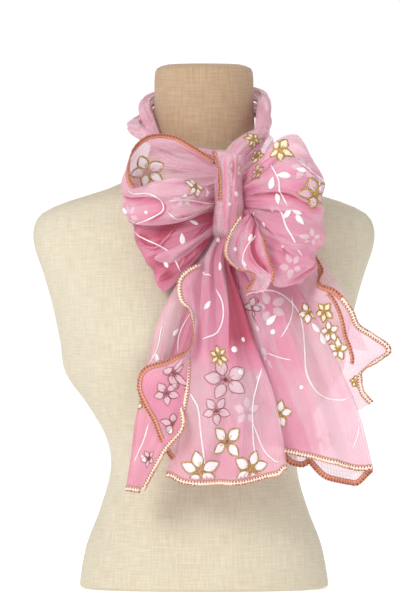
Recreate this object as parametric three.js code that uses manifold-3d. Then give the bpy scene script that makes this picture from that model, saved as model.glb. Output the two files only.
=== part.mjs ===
// A sheer printed scarf tied in a bow round the neck of a limbless dress form.
// Millimetres. +Z is up, +X is to the viewer's right and -Y is towards the viewer.
// The origin is the centre of the form's flat base.
import * as THREE from "three";
import { mergeVertices } from "three/addons/utils/BufferGeometryUtils.js";
import Module from "manifold-3d";

const wasm = await Module();
wasm.setup();

// Driving dimensions
const CLOTH = 1.5; // thickness of a cloth wall
const BUNCHED_CLOTH = 1.2; // thickness where the cloth is rolled into a strand
const SEAM_GAP = 0.3; // between pieces that meet
const EDGING_WIDTH = 5;
const EDGING_THICKNESS = 1.8;

const STRAND_HEART = 0.45; // where the roll of a strand begins, as a share of its radius
const STRAND_TURNS = 1.15;
const STRAND_GAP = 0.5; // between the two strands

const CORE_LEFT = 10;
const CORE_RIGHT = 42;
const CORE_FRONT = -104;
const CORE_BACK = -75;
const CORE_BOTTOM = 369;
const CORE_TOP = 453;
const CORE_CORNER = 4;

const BUST_OUT = 78; // from the middle line to each side's fullest point
const BUST_HEIGHT = 262;
const BUST_DEPTH = 26;
const BUST_REACH = 55;

const COLOURS = {
  linen: 0xcdbf9f,
  cloth: 0xe98fb0,
  edging: 0xe39a84,
};

// The sections of the dress form from its base to its neck.
// half: half its width. front and back: its reach towards and away from the viewer. square: 2 is an ellipse.
const FORM_SECTIONS = named(["z", "half", "front", "back", "square"], [
  [0, 130, 96, 92, 2.3],
  [6, 132, 98, 94, 2.3],
  [45, 125, 93, 88, 2.3],
  [85, 110, 85, 80, 2.3],
  [126, 99, 78, 72, 2.2],
  [160, 104, 82, 76, 2.2],
  [195, 124, 91, 84, 2.2],
  [228, 147, 99, 92, 2.1],
  [262, 153, 102, 98, 2.1],
  [300, 161, 95, 100, 2.1],
  [335, 171, 83, 100, 2.1],
  [362, 180, 73, 97, 2],
  [382, 181, 67, 91, 2],
  [397, 173, 62, 84, 2],
  [408, 152, 59, 77, 2],
  [417, 124, 57, 71, 2],
  [426, 97, 55, 66, 2],
  [438, 76, 53, 62, 2],
  [454, 62, 52, 58, 2],
  [476, 55.5, 51, 56, 2],
  [510, 53, 51, 55, 2],
  [548, 52, 50, 54, 2],
  [556, 46, 44, 48, 2],
]);

// Each stretch of cloth is a row of sections from where it leaves the knot to its end, or round a loop and back.
// A section runs from edge a to edge b. crown: how far its middle stands out. fold: how deep its folds are, as a share.
const SECTION = ["ax", "ay", "az", "bx", "by", "bz", "crown", "fold"];

// The folds across each stretch. at: where between the edges. lean: how far it moves along the stretch.
// width: its half width as a share. depth: how far it stands out.
const FOLD = ["at", "lean", "width", "depth"];

const LEFT_LOOP = named(SECTION, [
  [13, -88, 446, 13, -88, 426, 0, 0.3],
  [-13, -86, 463, -15, -82, 411, 2, 0.8],
  [-34, -88, 474, -41, -80, 396, 4, 1],
  [-57, -94, 474, -61, -84, 388, 5, 1],
  [-75, -102, 458, -75, -96, 386, 6, 0.8],
  [-81, -114, 437, -78, -112, 388, 6, 0.6],
  [-74, -126, 422, -67, -124, 384, 8, 0.8],
  [-48, -134, 430, -41, -130, 384, 9, 1],
  [-17, -124, 432, -15, -122, 390, 7, 1],
  [13, -91, 420, 13, -91, 404, 1, 0.3],
]);
const LEFT_LOOP_FOLDS = named(FOLD, [
  [0.22, 0.1, 0.12, 4],
  [0.52, -0.1, 0.1, -3.5],
  [0.8, 0.05, 0.1, 4],
]);

const LEFT_DRAPE = named(SECTION, [
  [13, -85, 404, 13, -85, 384, 0, 0.3],
  [-20, -84, 388, -7, -88, 352, 2, 0.8],
  [-52, -88, 375, -24, -98, 327, 3, 1],
  [-66, -98, 373, -34, -110, 319, 4, 0.8],
  [-54, -112, 377, -25, -113, 325, 5, 1],
  [-20, -110, 388, -6, -108, 350, 4, 1],
  [13, -94, 398, 13, -94, 377, 1, 0.3],
]);
const LEFT_DRAPE_FOLDS = named(FOLD, [
  [0.3, 0, 0.13, 3],
  [0.7, 0.1, 0.12, -3],
]);

const RIGHT_LOOP_UPPER = named(SECTION, [
  [39, -82, 441, 39, -82, 422, 0, 0.3],
  [61, -84, 458, 67, -80, 412, 3, 0.8],
  [80, -88, 476, 96, -82, 407, 5, 1],
  [97, -96, 479, 116, -90, 402, 8, 1],
  [106, -108, 467, 123, -106, 401, 9, 0.7],
  [101, -120, 472, 117, -122, 403, 9, 1],
  [80, -124, 474, 93, -130, 408, 9, 1],
  [61, -116, 455, 67, -122, 410, 6, 1],
  [39, -92, 436, 39, -92, 413, 1, 0.3],
]);
const RIGHT_LOOP_UPPER_FOLDS = named(FOLD, [
  [0.2, 0, 0.1, -2.5],
  [0.48, -0.1, 0.12, 3],
  [0.78, 0, 0.09, -3],
]);

const RIGHT_LOOP_LOWER = named(SECTION, [
  [39, -84, 404, 39, -84, 384, 0, 0.3],
  [67, -96, 404, 57, -100, 346, 3, 0.8],
  [99, -102, 395, 80, -108, 321, 5, 1],
  [123, -112, 380, 101, -116, 324, 7, 0.8],
  [118, -124, 387, 97, -126, 323, 8, 1],
  [91, -132, 397, 74, -132, 320, 6, 1],
  [63, -110, 399, 55, -117, 346, 3, 0.8],
  [39, -91, 399, 39, -91, 380, 0, 0.2],
]);
const RIGHT_LOOP_LOWER_FOLDS = named(FOLD, [
  [0.25, 0.1, 0.11, 3.5],
  [0.5, 0, 0.09, -3.5],
  [0.76, -0.05, 0.1, 3.5],
]);

const RIGHT_FLARE = named(SECTION, [
  [40, -98, 401, 40, -98, 387, 0, 0.2],
  [47, -122, 397, 53, -120, 385, 0, 0.3],
  [36, -138, 386, 59, -136, 373, -4, 0.6],
  [26, -150, 367, 63, -145, 360, -8, 1],
  [25, -156, 350, 67, -150, 346, -10, 1],
  [37, -158, 337, 71, -151, 332, -8, 1],
  [53, -156, 331, 67, -150, 320, -5, 0.6],
  [47, -148, 315, 61, -147, 313, -3, 0.4],
]);
const RIGHT_FLARE_FOLDS = named(FOLD, [[0.6, 0.1, 0.14, 3]]);

const LEFT_TAIL = named(SECTION, [
  [12, -97, 372, 28, -97, 372, 1, 0.3],
  [0, -112, 346, 26, -112, 344, 3, 1],
  [-5, -128, 306, 39, -128, 304, 5, 1],
  [-13, -138, 258, 55, -138, 255, 6, 1],
  [-16, -141, 211, 72, -140, 209, 6, 1],
  [-25, -139, 167, 81, -138, 167, 5, 1],
  [-39, -134, 126, 85, -134, 129, 4, 1],
]);
const LEFT_TAIL_FOLDS = named(FOLD, [
  [0.2, -0.1, 0.1, 3.5],
  [0.42, 0.1, 0.08, -3],
  [0.62, -0.15, 0.09, 4],
  [0.86, 0, 0.07, -3],
]);

const LEFT_RUFFLE = named(SECTION, [
  [-4, -120, 342, 1, -113, 345, 0, 0],
  [-22, -131, 327, -2, -120, 325, 2, 0.4],
  [-22, -138, 308, -4, -128, 306, 3, 0.5],
  [-12, -144, 291, -6.5, -133, 282, 1, 0.3],
  [-13, -148, 259, -12, -138, 261, 0, 0.2],
  [-34, -152, 241, -13.5, -139, 245, 3, 0.5],
  [-59, -148, 232, -14.5, -140, 230, 5, 0.8],
  [-65, -142, 215, -15.5, -141, 217, 5, 0.8],
  [-58, -140, 197, -16, -141, 204, 4, 0.6],
]);
const LEFT_RUFFLE_FOLDS = named(FOLD, [[0.45, 0, 0.2, 2.5]]);

const LEFT_SIDE = named(SECTION, [
  [12, -89, 372, 25, -89, 372, 0, 0.3],
  [2, -101, 346, 18, -101, 346, 1, 0.8],
  [-17, -114, 314, 6, -113, 314, 2, 1],
  [-42, -122, 282, -4, -120, 282, 3, 1],
  [-57, -126, 248, -15, -124, 251, 3, 1],
  [-65, -127, 211, -31, -130, 215, 2, 1],
  [-72, -126, 179, -24, -149, 176, -3, 0.8],
  [-76, -122, 145, -43, -146, 150, -2, 0.6],
  [-81, -118, 112, -64, -138, 110, -1, 0.4],
]);
const LEFT_SIDE_FOLDS = named(FOLD, [
  [0.3, 0.1, 0.12, 2.5],
  [0.65, 0, 0.12, -2.5],
]);

const RIGHT_TAIL = named(SECTION, [
  [31, -89, 372, 41, -86, 372, 0, 0.3],
  [31, -95, 346, 61, -90, 346, 1, 0.8],
  [34, -104, 321, 95, -96, 325, 2, 1],
  [41, -117, 290, 115, -106, 290, 4, 1],
  [51, -128, 253, 133, -116, 253, 5, 1],
  [63, -130, 216, 150, -122, 216, 5, 1],
  [75, -128, 179, 164, -122, 179, 4, 1],
  [83, -125, 152, 176, -120, 131, 3, 1],
]);
const RIGHT_TAIL_FOLDS = named(FOLD, [
  [0.3, 0.1, 0.09, -2.5],
  [0.55, 0, 0.1, 3],
  [0.8, -0.1, 0.08, -2.5],
]);

const RIGHT_TAIL_BACK = named(SECTION, [
  [101, -108, 251, 132, -115.5, 253, -1, 0.4],
  [97, -111, 216, 149, -120, 216, -3, 0.8],
  [89, -111, 174, 162, -117, 179, -4, 1],
  [85, -108, 139, 174, -112, 122, -4, 1],
]);
const RIGHT_TAIL_BACK_FOLDS = named(FOLD, [[0.35, 0, 0.12, -3]]);

const RIGHT_RUFFLE = named(SECTION, [
  [95.5, -97, 321, 113, -94, 349, 0, 0.2],
  [105, -101, 308, 120, -99, 335, 1, 0.3],
  [113, -105.5, 292, 119, -112, 319, 1, 0.3],
  [119, -108.5, 279, 136, -118, 311, 1, 0.4],
  [125, -112, 267, 150, -122, 294, 2, 0.5],
  [132, -115.5, 254, 158, -120, 277, 2, 0.5],
  [136, -118, 245, 174, -122, 266, 2, 0.4],
  [140, -119.5, 235, 190, -128, 253, 1, 0.2],
  [144.5, -121, 226, 175, -134, 241, 2, 0.3],
  [150.5, -122, 213, 161, -136, 228, 1, 0.3],
  [155.5, -122, 200, 162, -130, 210, 0, 0.2],
  [159, -122, 190, 172, -124, 197, 0, 0.1],
]);
const RIGHT_RUFFLE_FOLDS = named(FOLD, [[0.5, 0, 0.2, 2]]);

const RIGHT_SIDE = named(SECTION, [
  [96, -94, 319, 124, -84, 350, 0, 0.2],
  [112.5, -104, 293, 147, -90, 312, 2, 0.8],
  [122, -109, 271, 162, -98, 276, 3, 1],
  [131.5, -115, 253, 171, -106, 253, 2, 0.8],
]);
const RIGHT_SIDE_FOLDS = named(FOLD, [[0.5, 0.1, 0.14, 2.5]]);

// Waves across the free ends, growing towards the hem.
const LEFT_TAIL_WAVES = { count: 3, depth: 2.5, phase: 1 };
const RIGHT_TAIL_WAVES = { count: 2, depth: 2.5, phase: 0 };
const RIGHT_BACK_WAVES = { count: 2, depth: 4, phase: 2 };

// The knot's band stands over the core's front.
const KNOT_BAND = named(SECTION, [
  [12, -106, 464, 40, -105, 463, 6, 0.5],
  [11, -106, 452, 41, -106, 451, 9, 0.8],
  [10.5, -105.2, 435, 41.3, -105.2, 433, 11, 1],
  [10.5, -105.2, 412, 41.3, -105.2, 410, 12, 1],
  [10.5, -105.2, 388, 41.3, -105.2, 387, 10, 1],
  [12.5, -105.2, 368, 40, -105.2, 367, 6, 0.7],
]);
const KNOT_BAND_FOLDS = named(FOLD, [
  [0.2, 0, 0.07, -2],
  [0.42, 0.06, 0.07, 2],
  [0.62, -0.04, 0.06, -2],
  [0.82, 0, 0.07, 1.5],
]);

// The middle of the two strands, from the core's back round the neck to the core's top.
// turn: half turns of the pair about its middle. radius: of the outermost turn of each roll.
const NECK_PATH = named(["x", "y", "z", "turn", "radius"], [
  [20, -84, 448, 0.5, 6],
  [6, -71, 451, 0.5, 6.5],
  [-14, -65, 453, 0.5, 7],
  [-36, -58, 461, 0.6, 7.2],
  [-58, -43, 479, 0.9, 7.4],
  [-67.5, -17, 495, 1.2, 7.4],
  [-62, 12, 506, 1.45, 7.4],
  [-48.5, 39.5, 514, 1.5, 7.4],
  [-26, 57.2, 519, 1.5, 7.4],
  [0, 62.6, 521, 1.5, 7.4],
  [28, 58, 521, 1.5, 7.4],
  [49.5, 38.5, 519, 1.5, 7.4],
  [61, 12, 513, 1.5, 7.4],
  [64, -16, 503, 1.5, 7.4],
  [62, -40, 490, 1.6, 7.4],
  [55, -62, 474, 1.8, 7],
  [44, -79, 460, 2, 6.5],
  [32, -90, 446, 2, 6],
]);

// Rows of numbers under named columns, as objects.
function named(columns, rows) {
  return rows.map((row) =>
    Object.fromEntries(columns.map((name, i) => [name, row[i]])),
  );
}

// A smooth value of a column between evenly spaced rows, t from 0 to 1: Catmull-Rom, straight past both ends.
function along(rows, column, t) {
  const last = rows.length - 1;
  const at = THREE.MathUtils.clamp(t, 0, 1) * last;
  const i = Math.min(Math.floor(at), last - 1);
  const f = at - i;
  const value = (k) => {
    if (k < 0) return 2 * rows[0][column] - rows[1][column];
    if (k > last) return 2 * rows[last][column] - rows[last - 1][column];
    return rows[k][column];
  };
  const [p, q, r, s] = [value(i - 1), value(i), value(i + 1), value(i + 2)];
  return (
    q +
    0.5 * f * (r - p + f * (2 * p - 5 * q + 4 * r - s + f * (3 * (q - r) + s - p)))
  );
}

function pointAlong(rows, keys, t) {
  return new THREE.Vector3(...keys.map((key) => along(rows, key, t)));
}

// The middle surface of a stretch of cloth: u goes from edge a to edge b, v along its sections.
// side: 1 if the crown and folds stand out to the left of the way from a to b, -1 if to the right.
// flutes: waves that grow towards the far end, as {count, depth, phase}.
function clothSurface(sections, folds, side = 1, flutes = null) {
  const middle = (v) =>
    pointAlong(sections, ["ax", "ay", "az"], v)
      .add(pointAlong(sections, ["bx", "by", "bz"], v))
      .multiplyScalar(0.5);
  const step = 0.01;
  return (u, v) => {
    const a = pointAlong(sections, ["ax", "ay", "az"], v);
    const b = pointAlong(sections, ["bx", "by", "bz"], v);
    const way = middle(Math.min(v + step, 1)).sub(middle(Math.max(v - step, 0)));
    const out = way.cross(b.clone().sub(a)).normalize();
    let height = along(sections, "crown", v) * 4 * u * (1 - u);
    for (const { at, lean, width, depth } of folds) {
      const off = (u - at - lean * (v - 0.5)) / width;
      height += along(sections, "fold", v) * depth * Math.exp(-off * off);
    }
    if (flutes) {
      const wave = Math.cos(2 * Math.PI * flutes.count * u + flutes.phase);
      height += flutes.depth * wave * THREE.MathUtils.smoothstep(v, 0.3, 1);
    }
    return a.lerp(b, u).addScaledVector(out, side * height);
  };
}

// Unit normal of a surface by small differences, towards the viewer on a hanging tail.
function normalOf(surface, u, v) {
  const step = 1e-3;
  const across = surface(Math.min(u + step, 1), v).sub(
    surface(Math.max(u - step, 0), v),
  );
  const down = surface(u, Math.min(v + step, 1)).sub(
    surface(u, Math.max(v - step, 0)),
  );
  return down.cross(across).normalize();
}

// A closed wall of even thickness about a surface, as a grid of nu by nv cells on each face.
function wall(surface, nu, nv, thickness = CLOTH) {
  const positions = [];
  const indices = [];
  const columns = nu + 1;
  const layer = columns * (nv + 1);
  for (const face of [0.5, -0.5])
    for (let j = 0; j <= nv; j++)
      for (let i = 0; i <= nu; i++) {
        const [u, v] = [i / nu, j / nv];
        const p = surface(u, v).addScaledVector(
          normalOf(surface, u, v),
          face * thickness,
        );
        positions.push(p.x, p.y, p.z);
      }
  const quad = (a, b, c, d) => indices.push(a, b, c, a, c, d);
  for (let j = 0; j < nv; j++)
    for (let i = 0; i < nu; i++) {
      const a = j * columns + i;
      const [b, c, d] = [a + 1, a + columns + 1, a + columns];
      quad(a, d, c, b);
      quad(a + layer, b + layer, c + layer, d + layer);
    }
  const rim = (a, b) => quad(a, b, b + layer, a + layer);
  for (let i = 0; i < nu; i++) {
    rim(i, i + 1);
    rim(nv * columns + i + 1, nv * columns + i);
  }
  for (let j = 0; j < nv; j++) {
    rim((j + 1) * columns, j * columns);
    rim(j * columns + nu, (j + 1) * columns + nu);
  }
  const geometry = new THREE.BufferGeometry();
  geometry.setAttribute(
    "position",
    new THREE.Float32BufferAttribute(positions, 3),
  );
  geometry.setIndex(indices);
  return geometry;
}

function solidOf(geometry) {
  const merged = mergeVertices(geometry, 1e-4);
  return new wasm.Manifold(
    new wasm.Mesh({
      numProp: 3,
      vertProperties: merged.attributes.position.array,
      triVerts: new Uint32Array(merged.index.array),
    }),
  );
}

// Walls of the same cloth, joined where they run into each other and cut clear of the knot's core.
function fromKnot(...geometries) {
  const solid = geometries
    .map(solidOf)
    .reduce((all, next) => all.add(next))
    .subtract(solidOf(coreWithGap()));
  return geometryOf(solid);
}

function geometryOf(solid) {
  const mesh = solid.getMesh();
  const geometry = new THREE.BufferGeometry();
  geometry.setAttribute(
    "position",
    new THREE.Float32BufferAttribute(mesh.vertProperties, 3),
  );
  geometry.setIndex(new THREE.Uint32BufferAttribute(mesh.triVerts, 1));
  return geometry;
}

// The edging sewn along one edge of a surface: a flat strip that starts a seam gap past the cloth.
// edge gives the surface's u and v at t from 0 to 1, inner the direction in u and v that leads into the cloth.
function edging(surface, edge, inner, steps) {
  const strip = (s, t) => {
    const { u, v } = edge(t);
    const at = surface(u, v);
    const within = surface(u + inner.u * 0.02, v + inner.v * 0.02);
    const normal = normalOf(surface, u, v);
    const ahead = edge(Math.min(t + 0.01, 1));
    const behind = edge(Math.max(t - 0.01, 0));
    const way = surface(ahead.u, ahead.v).sub(surface(behind.u, behind.v));
    const out = way.cross(normal).normalize();
    if (out.dot(at.clone().sub(within)) < 0) out.negate();
    return at.addScaledVector(out, SEAM_GAP + s * EDGING_WIDTH);
  };
  const geometry = wall(strip, 1, steps, EDGING_THICKNESS);
  return facingOut(geometry);
}

// Turns a closed geometry's faces over if they point inwards.
function facingOut(geometry) {
  const { array } = geometry.attributes.position;
  const index = geometry.index.array;
  const corner = (k) => new THREE.Vector3().fromArray(array, 3 * index[k]);
  let volume = 0;
  for (let k = 0; k < index.length; k += 3)
    volume += corner(k).dot(corner(k + 1).cross(corner(k + 2)));
  if (volume < 0)
    for (let k = 0; k < index.length; k += 3)
      [index[k + 1], index[k + 2]] = [index[k + 2], index[k + 1]];
  return geometry;
}

const EDGES = {
  a: [(from, to) => (t) => ({ u: 0, v: from + t * (to - from) }), { u: 1, v: 0 }],
  b: [(from, to) => (t) => ({ u: 1, v: from + t * (to - from) }), { u: -1, v: 0 }],
  end: [(from, to) => (t) => ({ u: from + t * (to - from), v: 1 }), { u: 0, v: -1 }],
};

// from, to: cells counted along the edge, of the wall's cells there.
// panels: the walls near it with a seam gap all round, which cut the strip where a fold brings them close.
function edgingAlong(surface, name, from, to, cells, panels) {
  const [edge, inner] = EDGES[name];
  const strip = edging(surface, edge(from / cells, to / cells), inner, to - from);
  const pieces = panels
    .reduce((rest, panel) => rest.subtract(solidOf(panel)), solidOf(strip))
    .decompose()
    .sort((one, other) => other.volume() - one.volume());
  return geometryOf(pieces[0]);
}

// The knot's core with a seam gap all round, which cuts the roots of what leaves the knot.
function coreWithGap() {
  const [x, y, z] = [
    [CORE_LEFT, CORE_RIGHT],
    [CORE_FRONT, CORE_BACK],
    [CORE_BOTTOM, CORE_TOP],
  ].map(([low, high]) => [low - SEAM_GAP, high + SEAM_GAP]);
  const block = new THREE.BoxGeometry(x[1] - x[0], y[1] - y[0], z[1] - z[0]);
  block.translate((x[0] + x[1]) / 2, (y[0] + y[1]) / 2, (z[0] + z[1]) / 2);
  block.deleteAttribute("normal").deleteAttribute("uv");
  return block;
}

// The dress form: rings of its sections, with the bust added to the front.
function dressFormGeometry(rings = 26, sides = 30) {
  const positions = [];
  const indices = [];
  for (let j = 0; j <= rings; j++) {
    const t = j / rings;
    const [z, half, front, back, square] = [
      "z", "half", "front", "back", "square",
    ].map((column) => along(FORM_SECTIONS, column, t));
    for (let i = 0; i < sides; i++) {
      const angle = (2 * Math.PI * i) / sides;
      const bent = (value) => Math.sign(value) * Math.abs(value) ** (2 / square);
      const x = half * bent(Math.cos(angle));
      const depth = Math.sin(angle) < 0 ? front : back;
      let y = depth * bent(Math.sin(angle));
      if (y < 0)
        for (const middle of [-BUST_OUT, BUST_OUT]) {
          const off = Math.hypot(x - middle, z - BUST_HEIGHT) / BUST_REACH;
          y -= BUST_DEPTH * Math.exp(-off * off) * Math.min(1, -y / 20);
        }
      positions.push(x, y, z);
    }
  }
  const bottom = positions.length / 3;
  positions.push(0, 0, FORM_SECTIONS[0].z);
  positions.push(0, 0, FORM_SECTIONS[FORM_SECTIONS.length - 1].z);
  for (let i = 0; i < sides; i++) {
    const next = (i + 1) % sides;
    for (let j = 0; j < rings; j++) {
      const [low, high] = [j * sides, (j + 1) * sides];
      indices.push(low + i, low + next, high + next);
      indices.push(low + i, high + next, high + i);
    }
    indices.push(bottom, next, i);
    indices.push(bottom + 1, rings * sides + i, rings * sides + next);
  }
  const geometry = new THREE.BufferGeometry();
  geometry.setAttribute(
    "position",
    new THREE.Float32BufferAttribute(positions, 3),
  );
  geometry.setIndex(indices);
  return geometry;
}

// The hidden layers inside the knot: one block with rounded upright corners.
function knotCoreGeometry() {
  const [width, depth] = [CORE_RIGHT - CORE_LEFT, CORE_BACK - CORE_FRONT];
  const outline = new THREE.Shape();
  const [w, d, r] = [width / 2, depth / 2, CORE_CORNER];
  outline.moveTo(-w + r, -d);
  outline.lineTo(w - r, -d);
  outline.absarc(w - r, -d + r, r, -Math.PI / 2, 0);
  outline.lineTo(w, d - r);
  outline.absarc(w - r, d - r, r, 0, Math.PI / 2);
  outline.lineTo(-w + r, d);
  outline.absarc(-w + r, d - r, r, Math.PI / 2, Math.PI);
  outline.lineTo(-w, -d + r);
  outline.absarc(-w + r, -d + r, r, Math.PI, 1.5 * Math.PI);
  const geometry = new THREE.ExtrudeGeometry(outline, {
    depth: CORE_TOP - CORE_BOTTOM,
    bevelEnabled: false,
    curveSegments: 4,
  });
  geometry.translate(
    (CORE_LEFT + CORE_RIGHT) / 2,
    (CORE_FRONT + CORE_BACK) / 2,
    CORE_BOTTOM,
  );
  geometry.deleteAttribute("normal").deleteAttribute("uv");
  return mergeVertices(geometry);
}

// One of the two strands: a sheet rolled up loosely, twisted round its partner on the way round the neck.
function strandSurface(half) {
  const keys = ["x", "y", "z"];
  return (u, v) => {
    const middle = pointAlong(NECK_PATH, keys, v);
    const way = pointAlong(NECK_PATH, keys, Math.min(v + 0.01, 1))
      .sub(pointAlong(NECK_PATH, keys, Math.max(v - 0.01, 0)))
      .normalize();
    const radial = new THREE.Vector3(middle.x, middle.y + 10, 0);
    const up = radial.clone().cross(way).normalize();
    const out = way.clone().cross(up).normalize();
    const turn = Math.PI * (half + along(NECK_PATH, "turn", v));
    const outer = along(NECK_PATH, "radius", v);
    const offset = outer + (BUNCHED_CLOTH + STRAND_GAP) / 2;
    const roll = 2 * Math.PI * STRAND_TURNS * u + turn;
    const radius = outer * (STRAND_HEART + (1 - STRAND_HEART) * u);
    return middle
      .addScaledVector(out, offset * Math.cos(turn) + radius * Math.cos(roll))
      .addScaledVector(up, offset * Math.sin(turn) + radius * Math.sin(roll));
  };
}

const scarf = new THREE.Group();

function addMesh(name, geometry, colour) {
  const material = new THREE.MeshStandardMaterial({
    color: COLOURS[colour],
    roughness: colour === "linen" ? 0.9 : 0.7,
    metalness: 0,
  });
  const mesh = new THREE.Mesh(facingOut(geometry), material);
  mesh.name = name;
  scarf.add(mesh);
}

function addDressForm() {
  addMesh("dress_form", dressFormGeometry(), "linen");
}

function addKnot() {
  addMesh("knot_core", knotCoreGeometry(), "cloth");
  addMesh("knot_band", wall(clothSurface(KNOT_BAND, KNOT_BAND_FOLDS), 12, 8), "cloth");
}

function addNeckStrands() {
  const strand = (half) => fromKnot(wall(strandSurface(half), 10, 32, BUNCHED_CLOTH));
  addMesh("neck_strand_inner", strand(0), "cloth");
  addMesh("neck_strand_outer", strand(1), "cloth");
}

const WALL_AND_GAPS = CLOTH + 2 * SEAM_GAP;

function addBow() {
  const leftLoop = clothSurface(LEFT_LOOP, LEFT_LOOP_FOLDS, -1);
  const leftLoopSpace = [wall(leftLoop, 9, 18, WALL_AND_GAPS)];
  addMesh("left_loop", fromKnot(wall(leftLoop, 9, 18)), "cloth");
  addMesh("left_loop_edging", edgingAlong(leftLoop, "a", 2, 12, 18, leftLoopSpace), "edging");
  const leftDrape = clothSurface(LEFT_DRAPE, LEFT_DRAPE_FOLDS, -1);
  addMesh("left_drape", fromKnot(wall(leftDrape, 8, 14)), "cloth");
  const upper = clothSurface(RIGHT_LOOP_UPPER, RIGHT_LOOP_UPPER_FOLDS);
  addMesh("right_loop_upper", fromKnot(wall(upper, 9, 18)), "cloth");
  const lower = clothSurface(RIGHT_LOOP_LOWER, RIGHT_LOOP_LOWER_FOLDS);
  addMesh("right_loop_lower", fromKnot(wall(lower, 9, 16)), "cloth");
  const flare = clothSurface(RIGHT_FLARE, RIGHT_FLARE_FOLDS);
  const flareSpace = [wall(flare, 7, 16, WALL_AND_GAPS)];
  addMesh("right_flare", fromKnot(wall(flare, 7, 16)), "cloth");
  addMesh("right_flare_edging", edgingAlong(flare, "a", 4, 16, 16, flareSpace), "edging");
  addMesh("right_flare_inner_edging", edgingAlong(flare, "b", 5, 13, 16, flareSpace), "edging");
}

function addLeftTail() {
  const tail = clothSurface(LEFT_TAIL, LEFT_TAIL_FOLDS, 1, LEFT_TAIL_WAVES);
  const ruffle = clothSurface(LEFT_RUFFLE, LEFT_RUFFLE_FOLDS);
  const layers = (thickness) => [
    wall(tail, 16, 12, thickness),
    wall(ruffle, 4, 20, thickness),
  ];
  const space = layers(WALL_AND_GAPS);
  addMesh("left_tail", fromKnot(...layers(CLOTH)), "cloth");
  addMesh("left_tail_hem", edgingAlong(tail, "end", 0, 16, 16, space), "edging");
  addMesh("left_ruffle_edging", edgingAlong(ruffle, "a", 0, 20, 20, space), "edging");
}

function addLeftSide() {
  const surface = clothSurface(LEFT_SIDE, LEFT_SIDE_FOLDS);
  const space = [wall(surface, 8, 16, WALL_AND_GAPS)];
  addMesh("left_side", fromKnot(wall(surface, 8, 16)), "cloth");
  addMesh("left_side_edging", edgingAlong(surface, "b", 11, 16, 16, space), "edging");
  addMesh("left_side_hem", edgingAlong(surface, "end", 0, 7, 8, space), "edging");
}

function addRightTail() {
  const tail = clothSurface(RIGHT_TAIL, RIGHT_TAIL_FOLDS, 1, RIGHT_TAIL_WAVES);
  const back = clothSurface(RIGHT_TAIL_BACK, RIGHT_TAIL_BACK_FOLDS, 1, RIGHT_BACK_WAVES);
  const ruffle = clothSurface(RIGHT_RUFFLE, RIGHT_RUFFLE_FOLDS);
  const outer = clothSurface(RIGHT_SIDE, RIGHT_SIDE_FOLDS);
  const layers = (thickness) => [
    wall(tail, 14, 12, thickness),
    wall(back, 10, 6, thickness),
    wall(ruffle, 4, 22, thickness),
    wall(outer, 6, 6, thickness),
  ];
  const space = layers(WALL_AND_GAPS);
  addMesh("right_tail", fromKnot(...layers(CLOTH)), "cloth");
  addMesh("right_tail_hem", edgingAlong(tail, "end", 0, 14, 14, space), "edging");
  addMesh("right_tail_back_hem", edgingAlong(back, "end", 0, 10, 10, space), "edging");
  addMesh("right_ruffle_edging", edgingAlong(ruffle, "b", 0, 22, 22, space), "edging");
}

addDressForm();
addKnot();
addNeckStrands();
addBow();
addLeftTail();
addLeftSide();
addRightTail();

export default scarf;
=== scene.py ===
import math

import bpy
import numpy as np
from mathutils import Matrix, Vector


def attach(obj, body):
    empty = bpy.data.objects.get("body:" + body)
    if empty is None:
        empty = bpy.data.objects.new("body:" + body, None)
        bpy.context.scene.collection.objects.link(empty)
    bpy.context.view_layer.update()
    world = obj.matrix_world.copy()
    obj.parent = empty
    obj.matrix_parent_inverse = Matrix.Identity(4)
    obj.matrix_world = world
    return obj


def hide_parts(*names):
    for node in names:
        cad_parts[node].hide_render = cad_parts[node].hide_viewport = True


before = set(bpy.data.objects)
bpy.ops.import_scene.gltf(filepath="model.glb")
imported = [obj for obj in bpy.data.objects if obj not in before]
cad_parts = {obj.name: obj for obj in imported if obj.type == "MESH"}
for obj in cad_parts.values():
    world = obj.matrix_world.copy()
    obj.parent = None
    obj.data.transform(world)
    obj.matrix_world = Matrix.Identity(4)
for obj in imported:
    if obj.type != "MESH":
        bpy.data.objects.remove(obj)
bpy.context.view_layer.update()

bl_info = {
    "name": "Printed voile scarf on a dress form",
    "version": (1, 0, 0),
    "blender": (4, 5, 0),
    "location": "3D View > Sidebar > Scarf",
    "description": "Makes a sheer printed scarf tied in a bow on a limbless linen dress form",
    "category": "Object",
}

# Sizes in the tables are millimetres
MM = 0.001

# Sections of cloth: edge a x y z, edge b x y z, crown, and the share of its folds that is there
LEFT_LOOP = [
    (13, -88, 446, 13, -88, 426, 0, 0.3),
    (-13, -86, 463, -15, -82, 411, 2, 0.8),
    (-34, -88, 474, -41, -80, 396, 4, 1),
    (-57, -94, 474, -61, -84, 388, 5, 1),
    (-75, -102, 458, -75, -96, 386, 6, 0.8),
    (-81, -114, 437, -78, -112, 388, 6, 0.6),
    (-74, -126, 422, -67, -124, 384, 8, 0.8),
    (-48, -134, 430, -41, -130, 384, 9, 1),
    (-17, -124, 432, -15, -122, 390, 7, 1),
    (13, -91, 420, 13, -91, 404, 1, 0.3),
]

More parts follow.
